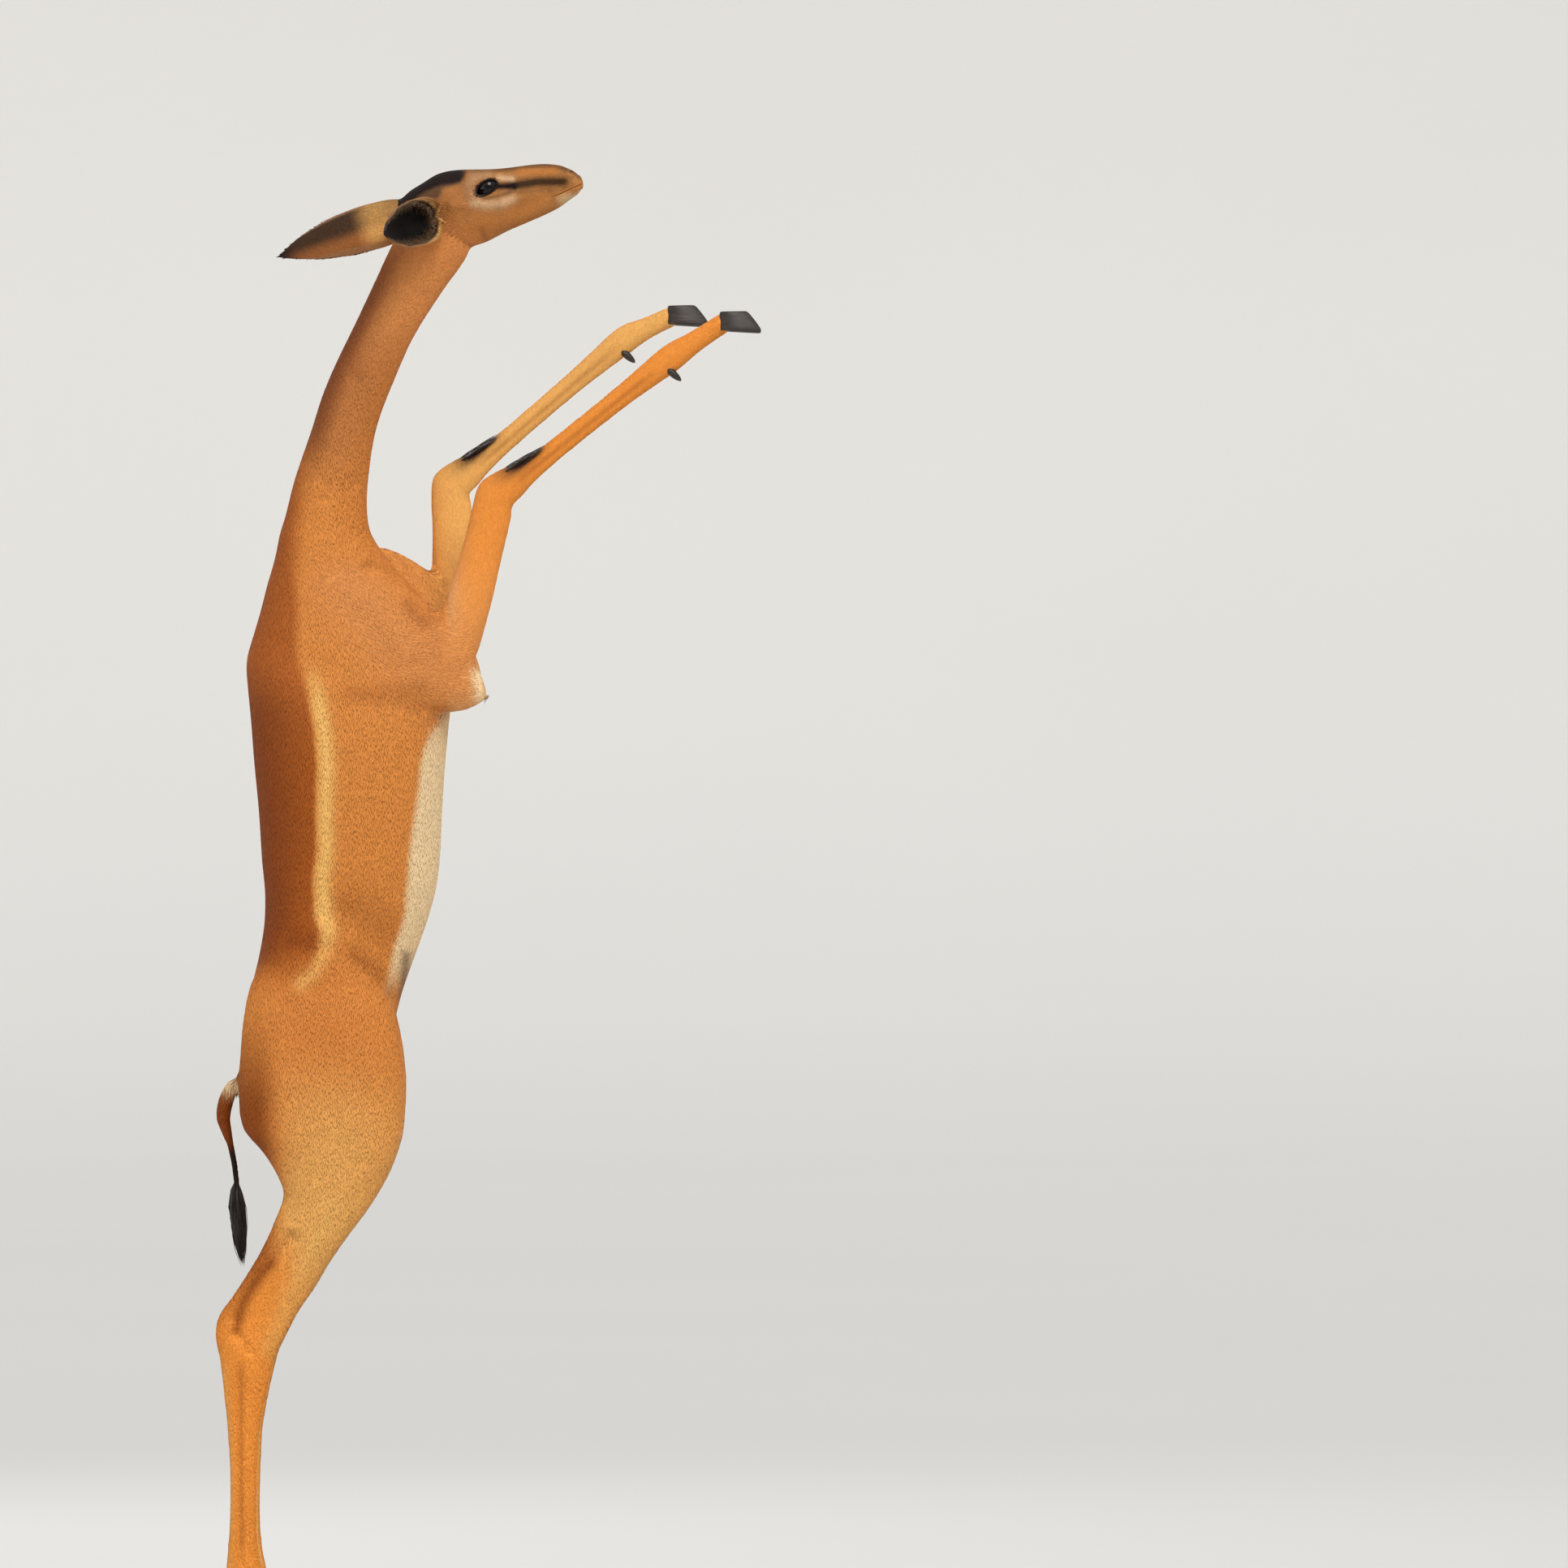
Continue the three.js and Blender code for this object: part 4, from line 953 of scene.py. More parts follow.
def brush_mask(points):
    """1 on the front of both forelegs just below the knee, fading to 0."""
    mask = np.zeros(len(points))
    for side in SIDES:
        mirror = np.array([1, side, 1])
        knee, fetlock = (np.array(FORE_BONES[side][name], float) * mirror for name in ("carpus", "fetlock"))
        way = unit(fetlock - knee)
        frontward = np.array([-way[2], 0, way[0]])
        middle = knee + way * BRUSH_PATCH["below"] + frontward * BRUSH_PATCH["ahead"]
        away = (points - middle) @ way / BRUSH_PATCH["long"]
        across = (points - middle) @ frontward / BRUSH_PATCH["wide"]
        same = np.sign(points[:, 1]) == side
        mask = np.maximum(mask, np.exp(-away**2 - np.minimum(across, 0) ** 2) * same)
    return mask


def paint_body(coat, points, normals, lie):
    """Lays the markings of neck, trunk, limbs and tail, and painted shade in hollows, creases and on sides
    turned from the light, and painted highlights on the hip and thighs.
    """
    weight, _, nearest, along, around = lie

    def share(*kinds):
        return share_of(weight, *kinds)

    x, z = coat.flat[:, 0], coat.flat[:, 1]
    side = np.abs(points[:, 1])
    forward = normals[:, 0]
    outward = normals[:, 1] * np.sign(points[:, 1])
    torso = share("trunk", "arm", "haunch", "tail")
    neck = share("neck")
    haunch = share("haunch")
    arm = share("arm", "foreleg")
    lower_legs = share("hindleg", "foreleg")
    hind_legs = share("haunch", "hindleg")
    tail = share("tail")

    # Painted shade on the back of the neck, the side turned from the light.
    coat.lay("nape_and_shade", neck * smoothstep(0.1, -0.8, forward) * 0.85)
    coat.lay("flank", neck * smoothstep(0.2, 0.9, forward) * 0.4)
    # Painted light: the upper neck under the head is lightened to the shoulder's tone, against the shade of
    # the head.
    coat.lay("shoulder", neck * smoothstep(1690, 1790, z) * smoothstep(-0.6, 0.1, forward))
    coat.lay("flank", neck * smoothstep(1640, 1480, z) * 0.55)

    # Painted highlight: the lower front of the thighs is made paler.
    coat.lay("light_band_and_highlight", haunch * smoothstep(850, 700, z) * smoothstep(30, 70, x) * 0.6)
    # Painted shade on the backs of the buttocks and thighs, the side turned from the light.
    coat.lay("shade_and_tail", torso * smoothstep(57, 19, x) * smoothstep(900, 740, z))
    # Painted shade along the flank's fold above the stifle and in the hollow of the flank.
    coat.patch("shade_and_tail", [(150, 950), (190, 905)], 12, torso * 0.35)
    coat.patch("shade_and_tail", [(138, 1012), (186, 985)], 24, torso * 0.3)

    beyond = x - edge_at(SADDLE_EDGE, z)
    soft = 4.0 + 5 * smoothstep(1250, 1330, z) + 8 * smoothstep(1380, 1500, z) + 12 * smoothstep(985, 930, z)
    saddle = smoothstep(soft, -soft, beyond) * smoothstep(885, 975, z)
    saddle = saddle * (torso + neck * smoothstep(1640, 1500, z))
    band = np.exp(-((beyond - 14) / 11) ** 2) * smoothstep(945, 1000, z) * smoothstep(1340, 1260, z)
    coat.lay("light_band_and_highlight", torso * band * 0.95)
    back = plain_painting(coat.tones, "saddle", points)
    back.lay("saddle_high", smoothstep(1170, 1300, z))
    coat.cover(back.colour, saddle)
    # The saddle is darkest where it faces back: partly darker hair along the spine, partly painted shade on
    # the side turned from the light.
    spine = smoothstep(0.1, -0.85, forward) * (0.8 - 0.4 * smoothstep(1250, 1330, z))
    coat.lay("back_line_and_shade", saddle * spine)

    white = smoothstep(-4, 8, x - edge_at(BELLY_EDGE, z)) * smoothstep(890, 945, z)
    chest = smoothstep(0.3, 0.8, forward) * smoothstep(1240, 1290, z) * smoothstep(1420, 1330, z)
    coat.lay("belly", share("trunk") * np.maximum(white, chest * smoothstep(60, 40, side)))
    coat.lay("leg_inner", arm * smoothstep(0.1, -0.5, outward) * 0.75)
    coat.patch("belly", [(303, 1308), (307, 1272)], 9, arm)
    # Painted shade in the crease under the elbow, along the lower edge of the shoulder, and in the cleft
    # between arm and chest.
    coat.patch("shade_and_tail", [(168, 1277), (262, 1262)], 8, arm * 0.6)
    coat.patch("shade_and_tail", [(140, 1286), (228, 1290)], 13, torso * 0.3)
    coat.patch("shade_and_tail", [(214, 1398), (232, 1374)], 10, torso * 0.4)
    # Painted shadow in the hollow of the loin.
    coat.patch("back_line_and_shade", [(68, 964), (86, 960)], 11, torso * 0.5)
    # Painted highlight along the hip bone's ridge.
    coat.patch("light_band_and_highlight", HIP_HIGHLIGHT, 9.5, torso * 0.5)
    # Painted shade in the hollow where the belly's white meets the thigh.
    coat.patch("crown_edge_and_shade", [(213, 948), (207, 884)], 7, torso * 0.7)

    inner = smoothstep(-0.15, -0.7, outward)
    coat.lay("belly", haunch * inner * smoothstep(60, 110, x) * 0.9)
    coat.lay("leg_inner", lower_legs * inner * 0.8)
    # Painted shade in the hollow between the Achilles tendon and the shank, above the hock.
    coat.patch("shade_and_tail", [(40, 552), (26, 536), (4, 500), (-5, 468)], 8, hind_legs * 0.8)
    coat.patch("light_band_and_highlight", [(120, 620), (76, 540), (40, 440)], 14, hind_legs * 0.4)
    # Painted shade in the grooves of the cannons.
    coat.lay("shade_and_tail", lower_legs * tendon_grooves(nearest, along, around, 0.3) * 0.4)
    coat.lay("leg_inner", share("hindleg") * smoothstep(460, 400, z) * smoothstep(0.2, 0.9, -forward) * 0.5)
    coat.lay("back_line_and_shade", tail * smoothstep(768, 750, z) * 0.9)
    coat.lay("black", tail * smoothstep(712, 690, z) * 0.95)
    coat.patch("belly", [(-22, 778), (-8, 772)], 9, np.clip(torso, 0, 1) * smoothstep(24, 8, side))
    coat.lay("brush", share("foreleg") * brush_mask(points) * 1.2)


def markings(points, normals):
    """The colour of the coat at points of the skin."""
    tones = colours()
    lie = lie_of(points)
    weight = lie[0]
    plain = weight @ np.array([tones[PLAIN_TONES[part_kind(name)]] for name in PARTS])
    coat = Painting(tones, plain, side_view(points))
    paint_body(coat, points, normals, lie)
    coat.cover(head_colours(coat.colour, points, tones), share_of(weight, "head") * HEAD_SHARE)
    for side, name in SIDES.items():
        mask = smoothstep(*EAR_SHARE, weight[:, PARTS.index(f"ear_{name}")])
        coat.cover(ear_colours(points, normals, tones, side), mask)
    return np.clip(coat.colour, 0, 1)


def paint(mesh, values):
    """Gives every vertex its colour, for the materials to read."""
    layer = mesh.attributes.new("markings", "FLOAT_COLOR", "POINT")
    rgba = np.ones((len(values), 4), np.float32)
    rgba[:, :3] = values
    layer.data.foreach_set("color", rgba.ravel())


# Materials
class Value:
    """A shader socket that takes part in sums."""

    def __init__(self, sheet, socket):
        self.sheet = sheet
        self.socket = socket

    def sum(self, operation, *others):
        node = self.sheet.node("ShaderNodeMath", {"operation": operation}, {})
        for socket, value in zip(node.inputs, (self, *others)):
            self.sheet.feed(socket, value)
        return Value(self.sheet, node.outputs[0])

    def __add__(self, other):
        return self.sum("ADD", other)

    def __sub__(self, other):
        return self.sum("SUBTRACT", other)

    def __mul__(self, other):
        return self.sum("MULTIPLY", other)

    def __truediv__(self, other):
        return self.sum("DIVIDE", other)

    def __pow__(self, other):
        return self.sum("POWER", other)

    __radd__ = __add__
    __rmul__ = __mul__

    def held(self):
        """The value kept between 0 and 1."""
        made = self.sum("ADD", 0.0)
        made.socket.node.use_clamp = True
        return made


class Sheet:
    """A material's nodes."""

    def __init__(self, name):
        self.material = bpy.data.materials.new(name)
        self.material.use_nodes = True
        self.nodes = self.material.node_tree.nodes
        self.links = self.material.node_tree.links
        self.surface = next(n for n in self.nodes if n.type == "BSDF_PRINCIPLED")

    def feed(self, socket, value):
        if isinstance(value, Value):
            self.links.new(value.socket, socket)
        elif isinstance(value, bpy.types.NodeSocket):
            self.links.new(value, socket)
        else:
            socket.default_value = value

    def node(self, kind, settings, values):
        made = self.nodes.new(kind)
        for name, value in settings.items():
            setattr(made, name, value)
        for name, value in values.items():
            self.feed(made.inputs[name], value)
        return made

    def place(self):
        return self.node("ShaderNodeTexCoord", {}, {}).outputs["Object"]

    def mapped(self, scale, move=(0, 0, 0)):
        values = {"Vector": self.place(), "Scale": scale, "Location": move}
        return self.node("ShaderNodeMapping", {}, values).outputs["Vector"]

    def noise(self, scale, detail=3.0, roughness=0.55, vector=None, distortion=0.0):
        values = {"Vector": self.place() if vector is None else vector, "Scale": scale, "Detail": detail,
                  "Roughness": roughness, "Distortion": distortion}
        return Value(self, self.node("ShaderNodeTexNoise", {}, values).outputs["Fac"])

    def ramp(self, value, *stops):
        made = self.node("ShaderNodeValToRGB", {}, {})
        elements = made.color_ramp.elements
        while len(elements) < len(stops):
            elements.new(0.5)
        for element, (place, colour) in zip(elements, stops):
            element.position = place
            element.color = (*colour, 1)
        self.feed(made.inputs["Fac"], value)
        return made.outputs["Color"]

    def mix(self, first, second, factor, blend="MIX"):
        made = self.node("ShaderNodeMix", {"data_type": "RGBA", "blend_type": blend}, {})
        self.feed(made.inputs[0], factor)
        for socket, value in ((made.inputs[6], first), (made.inputs[7], second)):
            self.feed(socket, (*value, 1) if isinstance(value, tuple) else value)
        return made.outputs[2]

    def marked(self):
        """The colour that the mesh carries: its markings, with painted shade and highlights where these were
        laid.
        """
        return self.node("ShaderNodeAttribute", {"attribute_name": "markings"}, {}).outputs["Color"]

    def shaded(self, colour, shade):
        """A colour made lighter or darker by a value."""
        values = {"Red": shade, "Green": shade, "Blue": shade}
        tint = self.node("ShaderNodeCombineColor", {}, values).outputs[0]
        return self.mix(colour, tint, 1.0, "MULTIPLY")

    def vector(self, operation, *values):
        made = self.node("ShaderNodeVectorMath", {"operation": operation}, {})
        for index, value in enumerate(values):
            self.feed(made.inputs[index], value)
        return made

    def bump(self, height, strength, distance):
        values = {"Height": height, "Strength": strength, "Distance": distance}
        self.feed(self.surface.inputs["Normal"], self.node("ShaderNodeBump", {}, values).outputs["Normal"])

    def set(self, **values):
        for name, value in values.items():
            self.feed(self.surface.inputs[name.replace("_", " ")], value)
        return self.material


def fur_sheet(name, grain):
    """Short hair: the coat's own markings with their painted shade and highlights, and fine streaks of
    lighter and darker hair.
    """
    sheet = Sheet(name)
    fine = sheet.noise(grain, 4, 0.65)
    broad = sheet.noise(9, 3, 0.5)
    colour = sheet.shaded(sheet.marked(), 0.88 + 0.14 * fine + 0.10 * broad)
    sheet.set(Roughness=(0.5 + 0.3 * fine).held(), Specular_IOR_Level=0.2)
    return sheet, colour


def skin_material():
    sheet, colour = fur_sheet("skin_fur", 520)
    sheet.bump(sheet.noise(700, 3, 0.6), 0.45, 0.4 * MM)
    return sheet.set(Base_Color=colour)


# How much more the tufts are lit as the skin under them is than by their own faces.
SKIN_LIGHT = 2.2
STRAND_SCALE = (1500, 160, 1)


def coat_material():
    """The tufts are lit mostly as the skin under them is, so the coat looks sleek."""
    sheet, colour = fur_sheet("coat_fur", 600)
    spots = sheet.node("ShaderNodeUVMap", {"uv_map": "OFBake"}, {}).outputs["UV"]
    drawn = sheet.node("ShaderNodeMapping", {}, {"Vector": spots, "Scale": STRAND_SCALE}).outputs["Vector"]
    strands = sheet.noise(1.0, 2, 0.6, vector=drawn)
    under = sheet.node("ShaderNodeAttribute", {"attribute_name": "skin_normal"}, {}).outputs["Vector"]
    own = sheet.node("ShaderNodeNewGeometry", {}, {}).outputs["Normal"]
    leaning = sheet.vector("SCALE", under)
    leaning.inputs["Scale"].default_value = SKIN_LIGHT
    both = sheet.vector("ADD", leaning.outputs[0], own)
    sheet.set(Normal=sheet.vector("NORMALIZE", both.outputs[0]).outputs[0])
    return sheet.set(Base_Color=sheet.shaded(colour, 0.78 + 0.44 * strands))


def horn_material():
    sheet = Sheet("horn")
    rings = sheet.noise(1.0, 3, 0.6, vector=sheet.mapped(scale=(60, 60, 520)))
    fine = sheet.noise(900, 2, 0.6)
    base = sheet.ramp(rings, (0.25, srgb(30, 25, 22)), (0.6, srgb(58, 49, 42)), (0.85, srgb(92, 80, 68)))
    sheet.bump(0.7 * rings + 0.3 * fine, 0.6, 0.5 * MM)
    return sheet.set(Base_Color=base, Roughness=(0.34 + 0.25 * fine).held(), Specular_IOR_Level=0.45)


def hair_material(name, grain=700):
    """Longer hair, a little glossier than the coat, with its own colours, painted shade in the ears' cups
    included.
    """
    sheet = Sheet(name)
    colour = sheet.shaded(sheet.marked(), 0.72 + 0.56 * sheet.noise(grain, 3, 0.6))
    return sheet.set(Base_Color=colour, Roughness=0.42, Specular_IOR_Level=0.4)


def eye_material():
    """A dark wet eye: brown iris, black level pupil, darker towards the lids."""
    sheet = Sheet("eye")
    place = sheet.mapped(scale=(1 / MM, 1 / MM, 1 / MM), move=(-EYE["x"] - SHIFT, 0, -EYE["z"]))
    split = sheet.node("ShaderNodeSeparateXYZ", {}, {"Vector": place})
    x, z = Value(sheet, split.outputs["X"]), Value(sheet, split.outputs["Z"])
    tilt = math.radians(EYE["tilt"])
    across = x * math.cos(tilt) + z * math.sin(tilt)
    above = z * math.cos(tilt) - x * math.sin(tilt)
    round_iris = ((across / 11.5) ** 2 + (above / 10.5) ** 2) ** 0.5
    pupil = ((across / 6.5) ** 2 + (above / 3.6) ** 2) ** 0.5
    threads = sheet.noise(420, 4, 0.6)
    browns = ((0.35, srgb(30, 16, 9)), (0.9, srgb(18, 10, 7)), (1.0, srgb(9, 6, 5)))
    iris = sheet.ramp(round_iris + 0.18 * threads, *browns)
    edge = ((pupil - 0.92) * 6).held()
    return sheet.set(Base_Color=sheet.mix(srgb(5, 4, 5), iris, edge), Roughness=0.05, Specular_IOR_Level=0.3)


def wood_material():
    """Oiled dark oak: long grain along x, fine pores, and a satin finish."""
    sheet = Sheet("wood")
    grain = sheet.noise(1.0, 6, 0.6, vector=sheet.mapped(scale=(3, 42, 42)), distortion=0.9)
    pores = sheet.noise(1.0, 2, 0.5, vector=sheet.mapped(scale=(30, 900, 900)))
    tone = 0.75 * grain + 0.25 * pores
    base = sheet.ramp(tone, (0.3, srgb(66, 42, 27)), (0.5, srgb(104, 70, 45)), (0.72, srgb(134, 95, 62)))
    sheet.bump(0.4 * grain + 0.6 * pores, 0.35, 0.4 * MM)
    return sheet.set(Base_Color=base, Roughness=(0.3 + 0.3 * pores).held(), Specular_IOR_Level=0.4)


def floor_material():
    sheet = Sheet("floor")
    pale = srgb(216, 214, 211)
    dark = tuple(0.985 * channel for channel in pale)
    cloudy = sheet.noise(0.35, 2, 0.5)
    return sheet.set(Base_Color=sheet.ramp(cloudy, (0.3, dark), (0.7, pale)), Roughness=0.9)


# The body's skin
def body_mesh():
    skins = []

    def add(rows, steps, sides, first, last):
        skins.append(tube_points(domed(smooth_rows(rows, steps), first, last), sides))

    add(trunk_rows(TRUNK), 4, 80, 14, 8)
    for side in SIDES:
        add(shoulder_rows(side), 5, 48, 6, 12)
        add(foreleg_rows(side), 4, 40, 10, 2)
        add(limb_rows(HIND_LEG, side), 4, 48, 10, 2)
    return wrapped_mesh("skin", *skins)


def shape_body(mesh):
    """Softens the joins of trunk and limbs, raises muscles, sinks hollows and leaves room for the coat."""
    count = len(mesh.vertices)
    relaxed(mesh, 14, np.ones(count), keep_volume=True)
    points = from_frame(coordinates(mesh))
    weight, _, nearest, along, around = lie_of(points)
    trunk = share_of(weight, "trunk", "arm", "haunch", "neck")
    relaxed(mesh, 60, 0.9 * smoothstep(0.3, 0.8, trunk), only_hollows=True)
    relaxed(mesh, 6, 0.8 * trunk)
    points = from_frame(coordinates(mesh))
    normals = vertex_normals(mesh)
    flat = side_view(points)
    sideways = normals[:, 1] ** 2
    push = form_push(BODY_FORMS, flat) * sideways
    push -= 1.2 * tendon_grooves(nearest, along, around, 0.34)
    push -= weight @ np.array([COAT[part_kind(name)][2] for name in PARTS])
    set_coordinates(mesh, to_frame(points + normals * push[:, None]))
    relaxed(mesh, 4, 0.6 * np.ones(len(mesh.vertices)), keep_volume=True)


def head_mesh():
    rows = domed(smooth_rows(head_rows(), 7), 10, 4)
    return wrapped_mesh("head", tube_points(rows, 132, -0.5, HEAD_FORMS, head_view))


def ball(radius, centre, segments, name, squash=(1, 1, 1), turn=0.0):
    """A closed ball, or an egg turned about the y axis, with its centre in the animal's frame."""
    bm = bmesh.new()
    bmesh.ops.create_uvsphere(bm, u_segments=segments, v_segments=segments // 2, radius=radius * MM)
    place = Matrix.Translation(Vector(to_frame(centre)))
    shape = place @ Matrix.Rotation(turn, 4, "Y") @ Matrix.Diagonal((*squash, 1))
    bmesh.ops.transform(bm, matrix=shape, verts=bm.verts)
    return mesh_from(bm, name)


def eye_centre(side):
    return np.array([EYE["x"], side * EYE["y"], EYE["z"]])


def eye_axes():
    """The way along the opening of the lids and the way over it."""
    tilt = math.radians(EYE["tilt"])
    return np.array([math.cos(tilt), 0, math.sin(tilt)]), np.array([-math.sin(tilt), 0, math.cos(tilt)])


def lid_edge(angle):
    """Across and above the eye's middle, in millimetres, round the opening between the lids."""
    reach = EYE["length"] / 2
    lift = np.where(np.sin(angle) > 0, 0.53, 0.41) * EYE["height"]
    return reach * np.cos(angle), lift * signed_power(np.sin(angle), 1.25)


def eye_opening(side):
    """The space between the lids, as a prism out of the side of the head."""
    bm = bmesh.new()
    ring = bmesh.ops.create_circle(bm, cap_ends=True, segments=56, radius=1)["verts"]
    along, over = eye_axes()
    for vert in ring:
        across, above = lid_edge(np.array(math.atan2(vert.co.y, vert.co.x)))
        place = np.array([EYE["x"], side * 8, EYE["z"]]) + along * across + over * above
        vert.co = to_frame(place)
    grown = bmesh.ops.extrude_face_region(bm, geom=bm.faces[:])
    outer = [item for item in grown["geom"] if isinstance(item, bmesh.types.BMVert)]
    bmesh.ops.translate(bm, vec=(0, side * 60 * MM, 0), verts=outer)
    bmesh.ops.recalc_face_normals(bm, faces=bm.faces)
    return mesh_from(bm, "opening")


def mouth_slits():
    """Thin slits along the closed lips: one in each side and one across the front."""
    corner, middle, front = (np.array(place, float) for place in MOUTH.values())
    meshes = []
    for low, high, start in ((-40, -7, 0.0), (7, 40, 0.0), (-8, 8, 0.92)):
        places = np.linspace(start, 1, 14)
        path = [(1 - t) ** 2 * corner + 2 * t * (1 - t) * middle + t**2 * front for t in places]
        bm = bmesh.new()
        grid = bmesh.ops.create_grid(bm, x_segments=len(path) - 1, y_segments=1, size=1)
        for vert in grid["verts"]:
            index = round((vert.co.x + 1) / 2 * (len(path) - 1))
            ahead, up = path[index]
            half = 0.5 * min(1, 0.3 + index / 4)
            vert.co = to_frame(head_place(ahead, up + math.copysign(half, vert.co.y), low))
        sheet = bmesh.ops.extrude_face_region(bm, geom=bm.faces[:])
        far = [item for item in sheet["geom"] if isinstance(item, bmesh.types.BMVert)]
        bmesh.ops.translate(bm, vec=(0, (high - low) * MM, 0), verts=far)
        bmesh.ops.recalc_face_normals(bm, faces=bm.faces)
        meshes.append(mesh_from(bm, "slit"))
    return meshes


def ear_mesh(side):
    """A long cupped leaf, nearly closed at its base and flat at its tip."""
    base, along, face, across = ear_axes(side)
    profile = smooth_rows(np.array(EAR_PROFILE, float), 7)
    half = 26
    parts = np.concatenate([np.linspace(-1, 1, half), np.linspace(0.97, -0.97, half), [-1]])
    inner = np.concatenate([np.zeros(half), np.ones(half), [0]])
    rings = []
    for place, width, turn, wall in profile:
        radius = EAR["width"] * width / 2 / math.sin(min(turn, math.pi / 2))
        centre = base + along * place * EAR["length"] - face * ear_bend(place)
        reach = radius * (1 - wall * inner)
        angle = parts * turn
        wave = 1.2 * np.sin(9 * place * math.pi) * np.abs(parts) ** 3
        ring = centre + across * (reach * np.sin(angle))[:, None]
        ring = ring + face * (radius * EAR["seat"] - reach * np.cos(angle) + wave)[:, None]
        rings.append(ring)
    return wrapped_mesh("ear", closed_rings(rings, along * 1.5))


def tree_of(mesh):
    bm = bmesh.new()
    bm.from_mesh(mesh)
    tree = BVHTree.FromBMesh(bm)
    bm.free()
    return tree


def soften_joins(mesh, trees, reach, rounds, where):
    """Smooths the skin close to where two of the joined skins meet."""
    places = coordinates(mesh)
    weight = np.zeros(len(places))
    for index in np.flatnonzero(where):
        found = (tree.find_nearest(Vector(places[index]), reach * MM)[3] for tree in trees)
        away = sorted(reach * MM if distance is None else distance for distance in found)
        weight[index] = 1 - away[1] / (reach * MM)
    relaxed(mesh, rounds, smoothstep(0.0, 0.7, weight))


def make_skin(voxel):
    skin = object_from(body_mesh(), "skin")
    remesh = skin.modifiers.new("remesh", "REMESH")
    remesh.mode = "VOXEL"
    remesh.voxel_size = voxel
    settled(skin)
    shape_body(skin.data)
    head = head_mesh()
    ears = [ear_mesh(side) for side in SIDES]
    tail = wrapped_mesh("tail", tube_points(domed(smooth_rows(tail_rows(), 6), 2, 2), 20, -0.5))
    trees = [tree_of(mesh) for mesh in (skin.data, head, tail, *ears)]
    for mesh in (head, *ears, tail):
        combine(skin, mesh, "UNION")
    points = from_frame(coordinates(skin.data))
    joins = (points[:, 2] > 1780) | ((points[:, 0] < 30) & (points[:, 2] > 700) & (points[:, 2] < 850))
    soften_joins(skin.data, trees, 13, 14, joins)
    for side in SIDES:
        centre = eye_centre(side)
        before = [tree_of(skin.data)]
        lids = ball(EYE["radius"] + EYE["lid"], centre, 72, "lids")
        before.append(tree_of(lids))
        combine(skin, lids, "UNION")
        points = from_frame(coordinates(skin.data))
        around = np.linalg.norm(points - centre, axis=1) < EYE["radius"] + 16
        soften_joins(skin.data, before, 7, 10, around)
    for side in SIDES:
        combine(skin, ball(EYE["radius"] + 0.15, eye_centre(side), 72, "socket"), "DIFFERENCE")
        combine(skin, eye_opening(side), "DIFFERENCE")
        at = head_place(NOSTRIL["ahead"], NOSTRIL["up"], side * (NOSTRIL["y"] + 2.5))
        egg = ball(1, at, 28, "nostril", (6.6, 4.4, 2.6), -math.radians(32))
        combine(skin, egg, "DIFFERENCE")
    for slit in mouth_slits():
        combine(skin, slit, "DIFFERENCE")
    return skin


# Hair
# Sections of locks with three and four corners: half widths across and thicknesses up of each corner.
LOCK_SECTIONS = {
    3: ((1, 0), (-1, 0), (0, 1)),
    4: ((1, 0), (0, 0.5), (-1, 0), (0, -0.5)),
}


def hair_mesh(name, roots, ways, facing, lengths, widths, thickness, bends, rings, corners, shades):
    """Many locks as one mesh, pointed at both ends. Each ring is a section: its place and relative width."""
    count = len(roots)
    per = len(rings) * corners + 2
    places = np.empty((count, per, 3))
    for index, (place, scale) in enumerate(rings):
        centre = roots + (ways * place + bends * place**2) * lengths[:, None]
        tangent = unit(ways + 2 * bends * place)
        across = unit(np.cross(facing, tangent))
        face = np.cross(tangent, across)
        for corner in range(corners):
            wide, thick = LOCK_SECTIONS[corners][corner]
            offset = across * (widths / 2 * wide)[:, None] + face * (thickness * thick)
            places[:, index * corners + corner] = centre + scale * offset
    root, tip = per - 2, per - 1
    places[:, root] = roots
    places[:, tip] = roots + (ways + bends) * lengths[:, None]
    last = (len(rings) - 1) * corners
    faces = []
    for corner in range(corners):
        following = (corner + 1) % corners
        faces.append((root, corner, following))
        faces.append((last + corner, tip, last + following))
        for ring in range(len(rings) - 1):
            a, b = ring * corners + corner, ring * corners + following
            faces += [(a, a + corners, b), (b, a + corners, b + corners)]
    faces = np.array(faces)
    sample = places[0] - places[0].mean(0)
    a, b, c = (sample[faces[:, k]] for k in range(3))
    if (a * np.cross(b, c)).sum() < 0:
        faces = faces[:, ::-1]
    triangles = (faces[None] + (np.arange(count) * per)[:, None, None]).reshape(-1, 3)
    mesh = bpy.data.meshes.new(name)
    mesh.vertices.add(count * per)
    mesh.loops.add(len(triangles) * 3)
    mesh.polygons.add(len(triangles))
    mesh.vertices.foreach_set("co", to_frame(places.reshape(-1, 3)).astype(np.float32).ravel())
    mesh.loops.foreach_set("vertex_index", triangles.astype(np.int32).ravel())
    mesh.polygons.foreach_set("loop_start", np.arange(0, len(triangles) * 3, 3, dtype=np.int32))
    mesh.polygons.foreach_set("use_smooth", np.ones(len(triangles), bool))
    mesh.update(calc_edges=True)
    paint(mesh, np.repeat(shades, per, axis=0))
    return mesh


# Sections of a tuft and of a lock: place along it and relative width.
TUFT_RINGS = [(0.42, 1.0)]
LOCK_RINGS = [(0.03, 0.7), (0.2, 1.0), (0.45, 0.9), (0.7, 0.62), (0.88, 0.32)]


